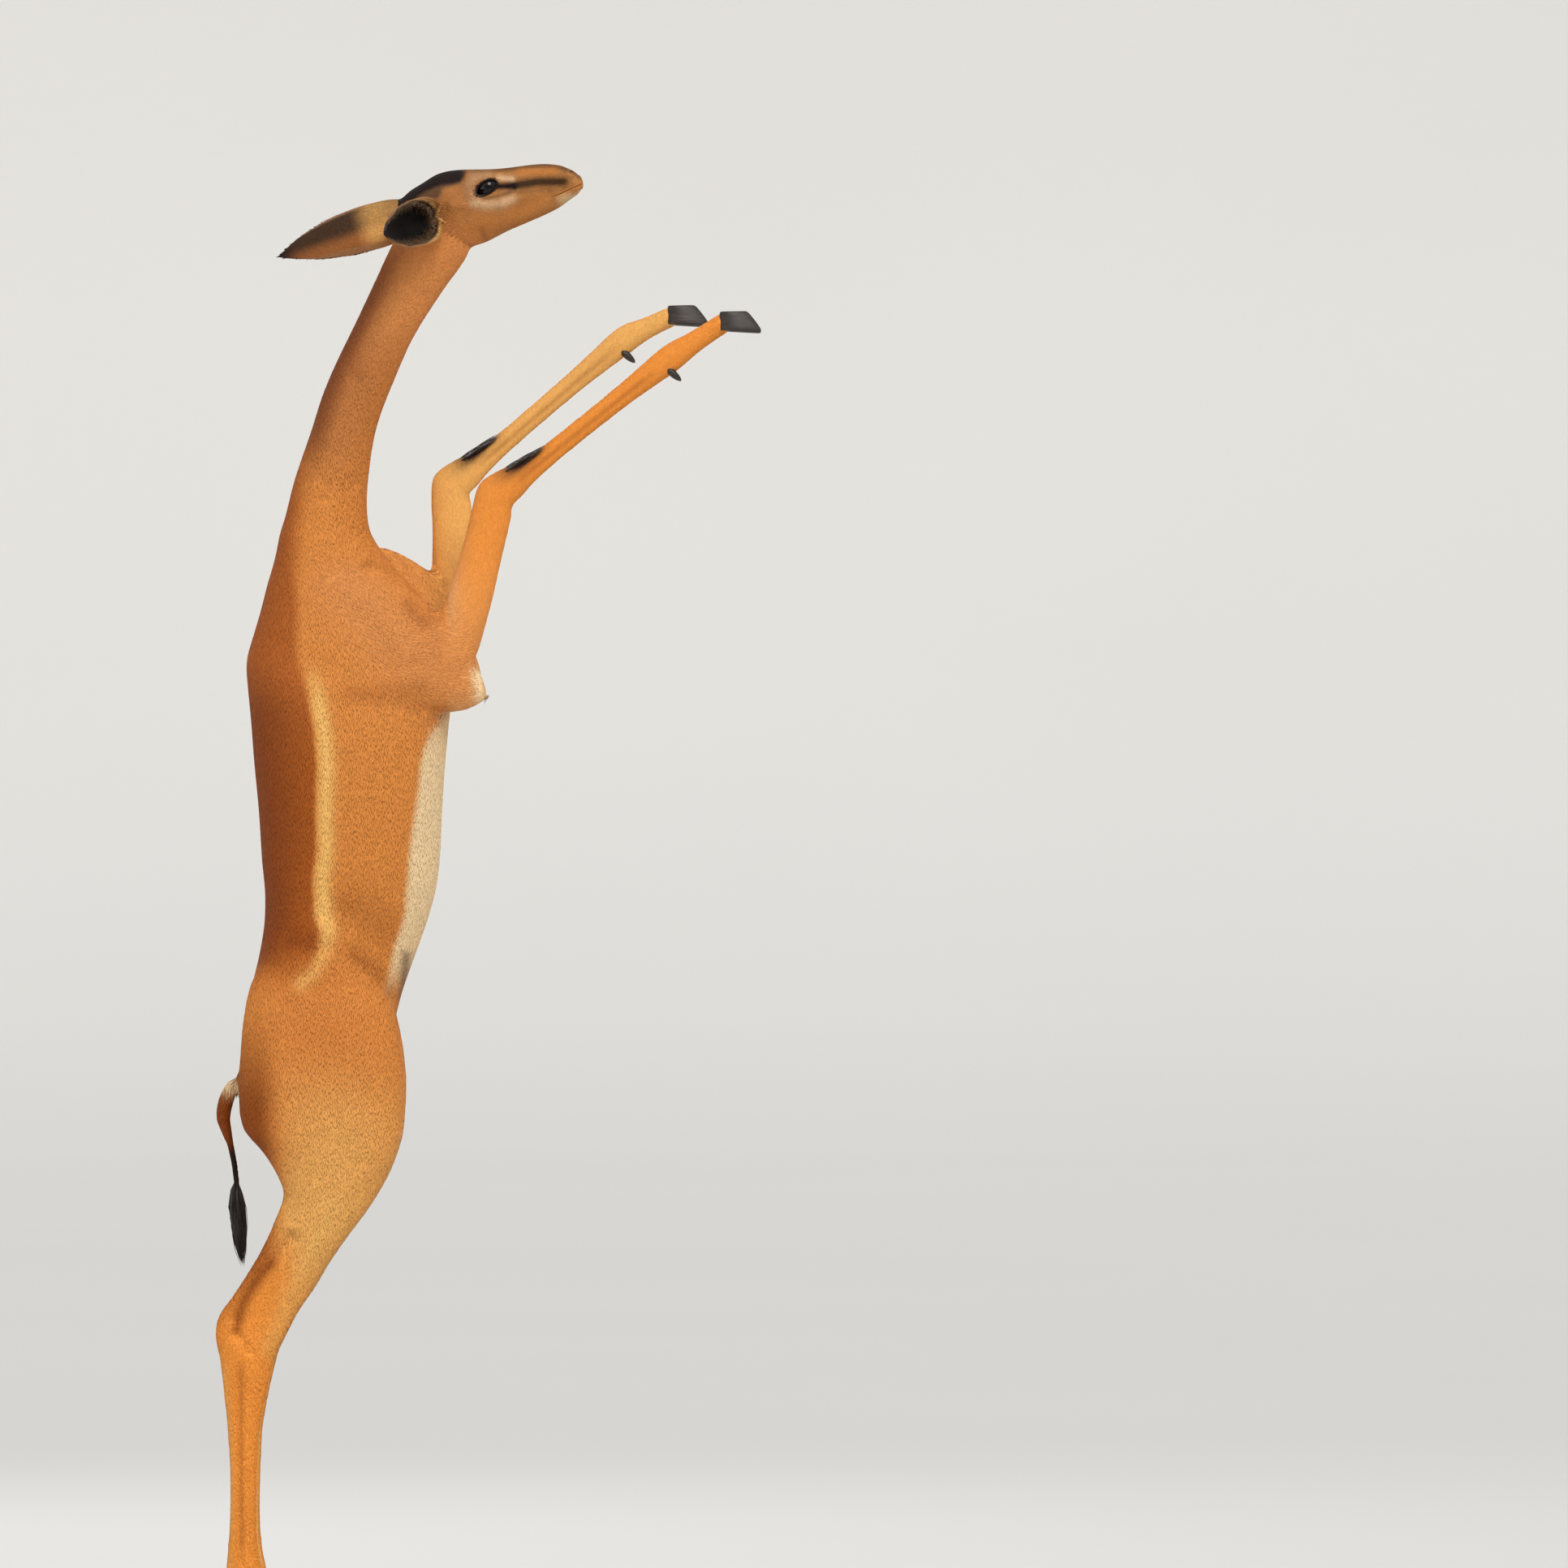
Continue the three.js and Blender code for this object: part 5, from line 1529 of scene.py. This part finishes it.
def lay_out_tufts(mesh, unrolled):
    """Gives each tuft a small patch of the unwrap, at its root's place on the unrolled skin."""
    patch = np.array([(0, 0.5), (1, 0.5), (0.5, 0.5), (0.5, 0), (0.5, 1)]) * UNWRAP_PATCH
    spots = (unrolled[:, None] + patch[None]).reshape(-1, 2)
    corners = read_rows(mesh.loops, "vertex_index", 1, np.int32)[:, 0]
    layer = mesh.uv_layers.new(name="OFBake")
    layer.data.foreach_set("uv", spots[corners].astype(np.float32).ravel())


def keep_skin_normals(mesh, normals):
    """Gives every tuft the way that the skin at its root faces, for the coat's material to read."""
    layer = mesh.attributes.new("skin_normal", "FLOAT_VECTOR", "POINT")
    repeated = np.repeat(normals, len(mesh.vertices) // len(normals), axis=0)
    layer.data.foreach_set("vector", repeated.astype(np.float32).ravel())


def bare_places(points, normals):
    """Where no short coat grows: on the lids' edges, in mouth and nostrils, and in the cups of the ears."""
    flat = head_view(points)
    side = np.abs(points[:, 1])
    bare = lid_view(flat, (1.2, 1)) < 1
    bare |= (run_distance(flat, list(MOUTH.values())) < 2.0) & (flat[:, 0] > 70)
    bare |= (flat[:, 0] > 115) & (points[:, 2] > 1850)
    nose = np.array([NOSTRIL["ahead"], NOSTRIL["up"]])
    bare |= (np.linalg.norm(flat - nose, axis=1) < 6.5) & (side > 3)
    for which in SIDES:
        along, _, inner = ear_view(points, normals, which)
        cup = (along > 0.1) & (along < 1.02) & (side > 20) & (np.sign(points[:, 1]) == which)
        bare |= inner & cup
    return bare


def tips_on_skin(tree, roots, up, flat, length, rise):
    """Where tufts end: a length away along the skin and a little above it."""
    level = roots + flat * length[:, None]
    found = [tree.find_nearest(place) for place in to_frame(level).tolist()]
    points = from_frame(np.array([hit[0] for hit in found]))
    normals = np.array([hit[1] for hit in found])
    close = np.linalg.norm(points - level, axis=1) < 0.35 * length
    same_wall = close & ((normals * up).sum(1) > 0.3)
    above = (0.04 + 0.4 * rise)[:, None]
    return np.where(same_wall[:, None], points + normals * above, level + up * above)


def scatter(random, corners, amounts):
    """Places spread over triangles: which triangle each is on, and how near it is to each corner."""
    total = np.cumsum(amounts)
    count = int(total[-1])
    picks = np.searchsorted(total, (np.arange(count) + random.rand(count)) / count * total[-1])
    first, second = np.sqrt(random.rand(count)), random.rand(count)
    nearness = np.stack([1 - first, first * (1 - second), first * second], -1)[..., None]
    return np.minimum(picks, len(corners) - 1), nearness


def grow_coat(skin, tree, name, parts, side, seed, share, stretch):
    """Short tufts over the given parts, along the lie of the coat, on one side alone unless it is 0."""
    random = np.random.RandomState(seed)
    points = from_frame(coordinates(skin.data))
    normals = vertex_normals(skin.data)
    triangles = triangles_of(skin.data)
    _, _, nearest, _, _ = lie_of(points[triangles[:, 0]])
    corners = points[triangles]
    doubled = np.cross(corners[:, 1] - corners[:, 0], corners[:, 2] - corners[:, 0])
    square_cm = np.linalg.norm(doubled, axis=1) / 200
    density = np.array([COAT[part_kind(part)][3] * (part in parts) for part in PARTS])[nearest]
    if side:
        density = density * (corners[:, :, 1].mean(1) * side > 0)
    picks, nearness = scatter(random, corners, square_cm * density * share)
    roots = (corners[picks] * nearness).sum(1)
    up = unit((normals[triangles[picks]] * nearness).sum(1))
    keep = ~bare_places(roots, up)
    roots, up = roots[keep], up[keep]
    weight, way, nearest, along, around = lie_of(roots)
    length, width, rise, _ = (weight @ np.array([COAT[part_kind(part)] for part in PARTS])).T
    length = length * stretch * (0.75 + 0.5 * random.rand(len(roots)))
    flat = unit(way - up * (way * up).sum(1)[:, None])
    turn = random.normal(0, 0.12, len(roots))[:, None]
    flat = flat * np.cos(turn) + np.cross(up, flat) * np.sin(turn)
    rise = rise * (0.65 + 0.5 * random.rand(len(roots)))
    shades = markings(roots, up) * (0.93 + 0.14 * random.rand(len(roots)))[:, None]
    sunk = roots - up * TUFT_ROOT_DEPTH
    middle = TUFT_RINGS[0][0]
    lift = ((rise + TUFT_ROOT_DEPTH * (1 - middle**2)) / (middle - middle**2) / length)[:, None]
    ways = flat + up * lift
    bends = (tips_on_skin(tree, roots, up, flat, length, rise) - sunk) / length[:, None] - ways
    mesh = hair_mesh(name, sunk, ways, up, length, width, TUFT_THICKNESS, bends, TUFT_RINGS, 3, shades)
    cells = np.array([CELLS[part] for part in PARTS])[nearest]
    radius = np.array([RUNS[part][1] for part in PARTS])[nearest]
    lay_out_tufts(mesh, cells + np.stack([(around + math.pi) * radius, along], -1) * UNWRAP_SCALE)
    keep_skin_normals(mesh, up)
    return object_from(mesh, name)


# Pieces of the coat: the parts they grow on, the side they keep to (0 for both) and their slot.
COAT_PIECES = {
    "coat_head": (("head",), 0, "coat_head"),
    "coat_ears": (("ear_right", "ear_left"), 0, "coat_ear"),
    "coat_neck": (("neck",), 0, "coat_body"),
    "coat_trunk_right": (("trunk",), RIGHT, "coat_body"),
    "coat_trunk_left": (("trunk",), LEFT, "coat_body"),
    "coat_tail": (("tail",), 0, "coat_body"),
    "coat_shoulders": (("arm_right", "arm_left"), 0, "coat_body"),
    "coat_haunches": (("haunch_right", "haunch_left"), 0, "coat_body"),
    "coat_foreleg_right": (("foreleg_right",), 0, "coat_leg"),
    "coat_foreleg_left": (("foreleg_left",), 0, "coat_leg"),
    "coat_hindleg_right": (("hindleg_right",), 0, "coat_leg"),
    "coat_hindleg_left": (("hindleg_left",), 0, "coat_leg"),
}
# The solids that the skin replaces.
MIDDLE_FLESH = ["torso", "neck", "head", "tail"]
SIDE_FLESH = ["thigh", "shank", "hind_cannon", "hind_pastern", "upper_arm", "forearm", "fore_cannon",
              "fore_pastern", "ear"]
FLESH = MIDDLE_FLESH + [f"{part}_{side}" for side in SIDES.values() for part in SIDE_FLESH]


def finish_piece(piece, material, slot, *replaced):
    """Gives a piece its material, and tells the frame its body and the solids it replaces. The slot is not
    used.
    """
    piece.data.materials.clear()
    piece.data.materials.append(material)
    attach(piece, "root")
    if replaced:
        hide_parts(*replaced)
    return piece


def smooth_faces(mesh):
    mesh.polygons.foreach_set("use_smooth", np.ones(len(mesh.polygons), bool))


class GERENUK_OT_skin(bpy.types.Operator):
    """Makes the one skin of body, head, ears and tail, and paints the coat's markings on it, with painted
    shade and highlights
    """
    bl_idname = "gerenuk.skin"
    bl_label = "Skin"

    def execute(self, context):
        skin = make_skin(context.scene.gerenuk_sizes.voxel)
        smooth_faces(skin.data)
        points = from_frame(coordinates(skin.data))
        paint(skin.data, markings(points, vertex_normals(skin.data)))
        finish_piece(skin, skin_material(), "coat_body", *FLESH)
        return {"FINISHED"}


class GERENUK_OT_coat(bpy.types.Operator):
    """Grows the short coat in tufts over the skin"""
    bl_idname = "gerenuk.coat"
    bl_label = "Coat"

    def execute(self, context):
        sizes = context.scene.gerenuk_sizes
        skin = bpy.data.objects["skin"]
        tree = tree_of(skin.data)
        material = coat_material()
        for seed, (name, (parts, side, slot)) in enumerate(COAT_PIECES.items(), FIRST_COAT_SEED):
            piece = grow_coat(skin, tree, name, parts, side, seed, sizes.tuft_share, sizes.tuft_scale)
            finish_piece(piece, material, slot)
        return {"FINISHED"}


EYE_BULGE = 0.035
# Locks: each kind's least length, how much longer some are, and where they grow.
LASHES = {
    "count": 64, "from": 0.45, "to": 2.75,
    "length": 5.0, "longer": 2.2, "width": 0.42, "thickness": 0.35,
}


def lash_mesh(side, radius, random):
    """The lashes of an upper lid, fanned out along its edge."""
    along, over = eye_axes()
    sideways = np.array([0, side, 0])
    count = LASHES["count"]
    angle = np.linspace(LASHES["from"], LASHES["to"], count) + random.normal(0, 0.03, count)
    across, above = lid_edge(angle)
    rim = along * across[:, None] + over * (above + 0.5 + 0.7 * random.rand(count))[:, None]
    depth = np.sqrt(np.maximum((radius + 0.9) ** 2 - (rim**2).sum(1), 4))
    roots = eye_centre(side) + rim + sideways * depth[:, None]
    spread = 0.55 * np.cos(angle) + random.normal(0, 0.1, count)
    ways = unit(sideways * 0.8 + over * 0.1 + along * spread[:, None])
    length = LASHES["length"] + LASHES["longer"] * random.rand(count)
    bends = np.tile(over * 0.4 - sideways * 0.2, (count, 1))
    facing = np.tile(over, (count, 1))
    widths = np.full(count, LASHES["width"])
    shades = np.tile(colours()["crown"], (count, 1))
    return hair_mesh("lashes", roots, ways, facing, length, widths, LASHES["thickness"], bends,
                     LOCK_RINGS[::2], 4, shades)


class GERENUK_OT_eyes(bpy.types.Operator):
    """Makes the eyeballs with their clear bulge in front, and the lashes of the upper lids"""
    bl_idname = "gerenuk.eyes"
    bl_label = "Eyes and lashes"

    def execute(self, context):
        radius = context.scene.gerenuk_sizes.eye_radius / MM
        material = eye_material()
        dark = hair_material("lash_hair")
        for side, name in SIDES.items():
            centre = eye_centre(side)
            mesh = ball(radius, centre, 64, f"eye_{name}_ball")
            points = from_frame(coordinates(mesh)) - centre
            gaze = unit(np.array([0.25, side, 0.05]))
            bulge = smoothstep(0.74, 0.98, unit(points) @ gaze)
            set_coordinates(mesh, to_frame(centre + points * (1 + EYE_BULGE * bulge)[:, None]))
            smooth_faces(mesh)
            finish_piece(object_from(mesh, f"eyeball_{name}"), material, "eye", f"eye_{name}")
            lashes = lash_mesh(side, radius, np.random.RandomState(7 + side))
            finish_piece(object_from(lashes, f"lashes_{name}"), dark, "hair_dark")
        return {"FINISHED"}


EAR_HAIRS = {
    "count": 1500, "first": 0.1, "spread": 0.76,
    "length": 8, "longer": 11, "width": 0.6, "thickness": 0.3,
}


def ear_hair_mesh(side, random):
    """Hair that grows on the inner wall of the cup, from its edges inwards, and lies towards the tip."""
    tones = colours()
    base, along, face, across = ear_axes(side)
    count = EAR_HAIRS["count"]
    place = EAR_HAIRS["first"] + EAR_HAIRS["spread"] * random.rand(count)
    edge = np.sign(random.rand(count) - 0.5)
    radius, turn, wall = ear_radius(place)
    angle = edge * turn * (0.98 - 0.5 * random.rand(count) ** 1.3)
    sine, cosine = np.sin(angle)[:, None], np.cos(angle)[:, None]
    reach = (radius * (1 - wall) + 0.3)[:, None]
    lift = (radius * EAR["seat"] - ear_bend(place))[:, None]
    centre = base + along * (place * EAR["length"])[:, None] + face * lift
    roots = centre + across * reach * sine - face * reach * cosine
    inward = face * cosine - across * sine
    stray = across * random.normal(0, 0.2, count)[:, None] + along * random.normal(0, 0.15, count)[:, None]
    ways = unit(along * 0.8 + inward * 0.3 + stray)
    length = EAR_HAIRS["length"] + EAR_HAIRS["longer"] * random.rand(count)
    length = length * np.clip((1.05 - place) * 1.8, 0.35, 1)
    shades = np.tile(tones["ear_hair"], (count, 1))
    shades = mixed(shades, tones["eye_pale"], 0.6 * random.rand(count) ** 2)
    # Painted shade: hairs further into the cup are darker.
    shades = shades * (0.5 + 0.5 * smoothstep(0.45, 0.9, np.abs(angle) / turn))[:, None]
    widths = np.full(count, EAR_HAIRS["width"])
    return hair_mesh("cup", roots, ways, inward, length, widths, EAR_HAIRS["thickness"], -inward * 0.16,
                     LOCK_RINGS[1:4:2], 3, shades)


class GERENUK_OT_ear_hair(bpy.types.Operator):
    """Grows the pale hair that lies across the cups of the ears"""
    bl_idname = "gerenuk.ear_hair"
    bl_label = "Ear hair"

    def execute(self, context):
        material = hair_material("ear_hair")
        for side, name in SIDES.items():
            mesh = ear_hair_mesh(side, np.random.RandomState(60 + side))
            finish_piece(object_from(mesh, f"ear_hair_{name}"), material, "coat_ear")
        return {"FINISHED"}


TAIL_TUFT = {"count": 460, "top": 652, "grown_over": 40, "length": 58, "longer": 22, "thickness": 0.9}
BRUSH = {"count": 260, "half_width": 12, "length": 18, "longer": 11, "thickness": 0.6}


def tail_tuft_mesh(random):
    """Locks that grow round the end of the tail and close to a point."""
    count = TAIL_TUFT["count"]
    place = random.rand(count)
    tail = np.array(TAIL, float)[::-1]
    height = TAIL_TUFT["top"] - TAIL_TUFT["grown_over"] * place
    middle = np.stack([np.interp(height, tail[:, 1], tail[:, 0]), 0 * height, height], -1)
    angle = random.rand(count) * 2 * math.pi
    out = np.stack([np.cos(angle), np.sin(angle), 0 * angle], -1)
    ways = unit(out * (0.62 - 0.3 * place)[:, None] + np.array([-0.08, 0, -1]))
    bends = out * (-0.52 + 0.22 * place)[:, None] + np.array([0.18, 0, -0.1])
    length = TAIL_TUFT["length"] + TAIL_TUFT["longer"] * random.rand(count) - 8 * place
    shades = colours()["black"] * (0.7 + 0.9 * random.rand(count))[:, None]
    widths = 2.2 + 1.2 * random.rand(count)
    return hair_mesh("tuft", middle + out * 1.5, ways, out, length, widths, TAIL_TUFT["thickness"], bends,
                     LOCK_RINGS, 4, shades)


def brush_mesh(side, random):
    """The brush of longer hair on the front of a foreleg, below the knee."""
    tones = colours()
    rows = foreleg_rows(side)
    knee, low, below = (rows[KNEE_ROW + k] for k in (0, 2, 4))
    along = unit(below[3:6] - knee[3:6])
    frontward = unit(knee[3:6] - knee[0:3])
    sideways = np.array([0, 1, 0])
    count = BRUSH["count"]
    place, spread = random.rand(count), random.rand(count) * 2 - 1
    roots = knee[3:6] + (low[3:6] - knee[3:6]) * (0.5 + 0.75 * place)[:, None]
    roots = roots + sideways * (spread * BRUSH["half_width"])[:, None]
    roots = roots - frontward * (2 + 5 * spread**2)[:, None]
    facing = unit(frontward + sideways * (spread * 0.7)[:, None])
    ways = unit(along + facing * 0.36 + sideways * random.normal(0, 0.08, count)[:, None])
    length = BRUSH["length"] + BRUSH["longer"] * random.rand(count)
    shades = mixed(np.tile(tones["black"], (count, 1)), tones["brush"], 0.2 + 0.8 * random.rand(count))
    widths = 1.6 + random.rand(count)
    return hair_mesh("brush", roots, ways, facing, length, widths, BRUSH["thickness"], -facing * 0.28,
                     LOCK_RINGS, 4, shades)


class GERENUK_OT_long_hair(bpy.types.Operator):
    """Grows the tail's tuft and the brushes on the knees"""
    bl_idname = "gerenuk.long_hair"
    bl_label = "Tail tuft and knee brushes"

    def execute(self, context):
        material = hair_material("black_hair", 900)
        random = np.random.RandomState(3)
        finish_piece(object_from(tail_tuft_mesh(random), "tail_hair"), material, "hair_dark", "tail_tuft")
        for side, name in SIDES.items():
            finish_piece(object_from(brush_mesh(side, random), f"knee_brush_{name}"), material, "hair_dark")
        return {"FINISHED"}


# A claw's walls from the sole up: height, size and shift back of the ring there.
CLAW = {"length": 53, "width": 21, "rise": 38, "fall": 0.3, "fore_rise": 27, "fore_fall": 0.1, "apart": 11.8}
CLAW_WALL = [
    [0, 0.9, -0.005],
    [0.04, 0.985, 0],
    [0.2, 1, -0.01],
    [0.55, 0.87, -0.08],
    [0.9, 0.72, -0.17],
    [1, 0.62, -0.2],
]
DEWCLAW = {"length": 17, "radius": 6.5}
# Place along a dewclaw and relative radius.
DEWCLAW_WALL = [
    (-0.5, 0.5), (-0.35, 0.9), (0, 1), (0.3, 0.97), (0.6, 0.8), (0.85, 0.5), (0.97, 0.2), (1, 0.001),
]


def claw_points(at, ahead, up, rise, fall, side, place):
    """One claw, whose upper edge falls towards the heel by a share of its rise."""
    angle = np.linspace(0, 2 * math.pi, 41)
    inner = np.where(np.sin(angle) * place < 0, 0.8, 1)
    rings = []
    for height, scale, shift in smooth_rows(np.array(CLAW_WALL), 5):
        forward = (np.cos(angle) * 0.5 * scale + shift) * CLAW["length"]
        wide = signed_power(np.sin(angle), 0.85) * (1 - 0.34 * np.cos(angle)) * inner
        wide = wide * 0.5 * scale * CLAW["width"]
        upward = height * rise * (1 - fall * (0.5 - 0.5 * np.cos(angle)))
        ring = at + ahead * forward[:, None] + up * upward[:, None]
        ring[:, 1] += side * (place * CLAW["apart"] + wide)
        rings.append(ring)
    return closed_rings(rings)


def dewclaw_points(root, direction):
    across = np.array([0.0, 1.0, 0.0])
    level = np.cross(direction, across)
    angle = np.linspace(0, 2 * math.pi, 21)
    rings = []
    for place, scale in DEWCLAW_WALL:
        ring = root + direction * place * DEWCLAW["length"]
        ring = ring + across * (np.cos(angle) * DEWCLAW["radius"] * scale)[:, None]
        rings.append(ring + level * (np.sin(angle) * DEWCLAW["radius"] * 0.75 * scale)[:, None])
    first = np.tile(rings[0][:-1].mean(0), (21, 1))
    return np.array([first, *rings])


class GERENUK_OT_hooves(bpy.types.Operator):
    """Makes the claws of the hooves and the dewclaws above them"""
    bl_idname = "gerenuk.hooves"
    bl_label = "Hooves"

    def execute(self, context):
        material = horn_material()
        level, upright = np.array([1.0, 0, 0]), np.array([0, 0, 1.0])
        raised, tipped = unit(np.array([1, 0, -0.06])), unit(np.array([0.06, 0, 1]))
        for side, name in SIDES.items():
            hind = limb_rows(HIND_LEG, side)
            fore = foreleg_rows(side)
            hind_sole = np.array([hind[-1][3] - 2, hind[-1][4], FLOOR])
            x, y, z = FORE_BONES[side]["coffin"]
            fore_sole = np.array([x + 19.0, side * y, z - 13.0])
            feet = {
                "hind": (hind_sole, level, upright, CLAW["rise"], CLAW["fall"],
                         hind[HIND_FETLOCK_ROW], (4, 9, -4), (-0.45, 0, -0.9)),
                "fore": (fore_sole, raised, tipped, CLAW["fore_rise"], CLAW["fore_fall"],
                         fore[FORE_FETLOCK_ROW], (-2, 8, 2), (0.75, 0, -0.66)),
            }
            for which, (at, ahead, up, rise, fall, fetlock, offset, way) in feet.items():
                claws, horns = [], []
                for place in (-1, 1):
                    claws.append(claw_points(at, ahead, up, rise, fall, side, place))
                    root = fetlock[0:3] + np.array([offset[0], place * side * offset[1], offset[2]])
                    horns.append(dewclaw_points(root, unit(np.array(way))))
                for kind, skins in (("claw", claws), ("dewclaw", horns)):
                    mesh = wrapped_mesh(kind, *skins)
                    smooth_faces(mesh)
                    nodes = [f"{which}_{kind}_{name}_{where}" for where in ("inner", "outer")]
                    finish_piece(object_from(mesh, f"{which}_{kind}s_{name}"), material, "hoof", *nodes)
        return {"FINISHED"}


class GERENUK_OT_base(bpy.types.Operator):
    """Makes the wooden base with rounded corners"""
    bl_idname = "gerenuk.base"
    bl_label = "Base"

    def execute(self, context):
        low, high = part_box("stand_base")
        bm = bmesh.new()
        bmesh.ops.create_cube(bm, size=1)
        bmesh.ops.scale(bm, vec=high - low, verts=bm.verts)
        bmesh.ops.translate(bm, vec=(low + high) / 2, verts=bm.verts)
        upright = [e for e in bm.edges if abs(e.verts[0].co.z - e.verts[1].co.z) > 0.01]
        self.rounded(bm, upright, BASE["corner"], 18)
        rims = [e for e in bm.edges if abs(e.verts[0].co.z - e.verts[1].co.z) < 1e-6]
        self.rounded(bm, rims, BASE["bevel"], 4)
        finish_piece(object_from(mesh_from(bm, "base"), "base"), wood_material(), "base", "stand_base")
        return {"FINISHED"}

    def rounded(self, bm, edges, radius, segments):
        bmesh.ops.bevel(bm, geom=edges, offset=radius * MM, segments=segments, profile=0.5, affect="EDGES",
                        material=-1)


# The floor's section from the middle out: how far away and how high, in metres, up to the backdrop.
FLOOR_SECTION = [
    (0, 0), (8, 0), (20, 0), (28, 0), (31, 0.4), (33.5, 1.6), (35.2, 3.6), (36, 6.4), (36, 14),
]
PHOTO = {"side": 1932, "mm_per_pixel": 1.05, "zero_x": 300, "sole_y": 2052}


def lamp(kind, name, way, power, colour, place=(0, 0, 0)):
    """A light that shines one way. Returns its data, for what only its kind has."""
    data = bpy.data.lights.new(name, kind)
    data.energy = power
    data.color = colour
    light = bpy.data.objects.new(name, data)
    light.location = place
    light.rotation_euler = Vector(way).to_track_quat("-Z", "Y").to_euler()
    bpy.context.scene.collection.objects.link(light)
    return data


def soft_lamp(name, place, target, size, power, colour):
    data = lamp("AREA", name, Vector(target) - Vector(place), power, colour, place)
    data.shape = "DISK"
    data.size = size


class GERENUK_OT_stage(bpy.types.Operator):
    """Makes the pale floor that rises to a backdrop far away, the soft lights and the camera"""
    bl_idname = "gerenuk.stage"
    bl_label = "Studio"

    def execute(self, context):
        self.floor()
        middle = to_frame((160, 0, 1150))
        lamp("SUN", "key", (-1.3, 3.6, -3.0), 1.5, (1.0, 0.97, 0.92)).angle = math.radians(26)
        soft_lamp("fill", (-3.6, -4.0, 1.8), middle, 3.0, 24, (0.95, 0.97, 1.0))
        soft_lamp("rim", (-1.2, 4.2, 3.6), middle, 2.0, 45, (1.0, 0.97, 0.93))
        world = bpy.data.worlds.new("studio")
        world.use_nodes = True
        sky = world.node_tree.nodes["Background"].inputs
        sky["Color"].default_value = (0.94, 0.97, 1.0, 1)
        sky["Strength"].default_value = 0.74
        context.scene.world = world
        context.scene.view_settings.view_transform = "Standard"
        self.camera(context)
        return {"FINISHED"}

    def floor(self):
        bm = bmesh.new()
        verts = [bm.verts.new((away, 0, height)) for away, height in FLOOR_SECTION]
        edges = [bm.edges.new(pair) for pair in zip(verts, verts[1:])]
        bmesh.ops.spin(bm, geom=verts + edges, cent=(0, 0, 0), axis=(0, 0, 1), angle=2 * math.pi, steps=96,
                       use_merge=True)
        bmesh.ops.remove_doubles(bm, verts=bm.verts, dist=1e-4)
        bmesh.ops.recalc_face_normals(bm, faces=bm.faces)
        floor = object_from(mesh_from(bm, "floor"), "floor")
        smooth_faces(floor.data)
        floor.data.materials.append(floor_material())

    def camera(self, context):
        """A level camera on her right, framed as the photograph is."""
        distance = context.scene.gerenuk_sizes.camera_distance
        data = bpy.data.cameras.new("camera")
        data.sensor_width = 36
        data.lens = data.sensor_width * distance / (PHOTO["side"] * PHOTO["mm_per_pixel"] * MM)
        data.clip_end = 200
        camera = bpy.data.objects.new("camera", data)
        middle = PHOTO["side"] / 2
        x = (middle - PHOTO["zero_x"]) * PHOTO["mm_per_pixel"]
        z = (PHOTO["sole_y"] - middle) * PHOTO["mm_per_pixel"] + BASE["thickness"]
        camera.location = Vector(to_frame((x, 0, z))) - Vector((0, distance, 0))
        camera.rotation_euler = (math.pi / 2, 0, 0)
        context.scene.collection.objects.link(camera)
        context.scene.camera = camera


PIECES = (GERENUK_OT_skin, GERENUK_OT_coat, GERENUK_OT_eyes, GERENUK_OT_ear_hair, GERENUK_OT_long_hair,
          GERENUK_OT_hooves, GERENUK_OT_base, GERENUK_OT_stage)


class GERENUK_PT_panel(bpy.types.Panel):
    """The pieces, sizes and colours of the gerenuk"""
    bl_idname = "GERENUK_PT_panel"
    bl_label = "Gerenuk"
    bl_space_type = "VIEW_3D"
    bl_region_type = "UI"
    bl_category = "Gerenuk"

    def draw(self, context):
        for group in (context.scene.gerenuk_sizes, context.scene.gerenuk_colours):
            for name in group.__annotations__:
                self.layout.prop(group, name)
        for piece in PIECES:
            self.layout.operator(piece.bl_idname)


CLASSES = (GerenukColours, GerenukSizes, *PIECES, GERENUK_PT_panel)


def register():
    for cls in CLASSES:
        bpy.utils.register_class(cls)
    bpy.types.Scene.gerenuk_colours = bpy.props.PointerProperty(type=GerenukColours)
    bpy.types.Scene.gerenuk_sizes = bpy.props.PointerProperty(type=GerenukSizes)


def unregister():
    del bpy.types.Scene.gerenuk_sizes
    del bpy.types.Scene.gerenuk_colours
    for cls in reversed(CLASSES):
        bpy.utils.unregister_class(cls)


def main():
    register()
    for piece in PIECES:
        group, action = piece.bl_idname.split(".")
        getattr(getattr(bpy.ops, group), action)()


if __name__ == "__main__":
    main()
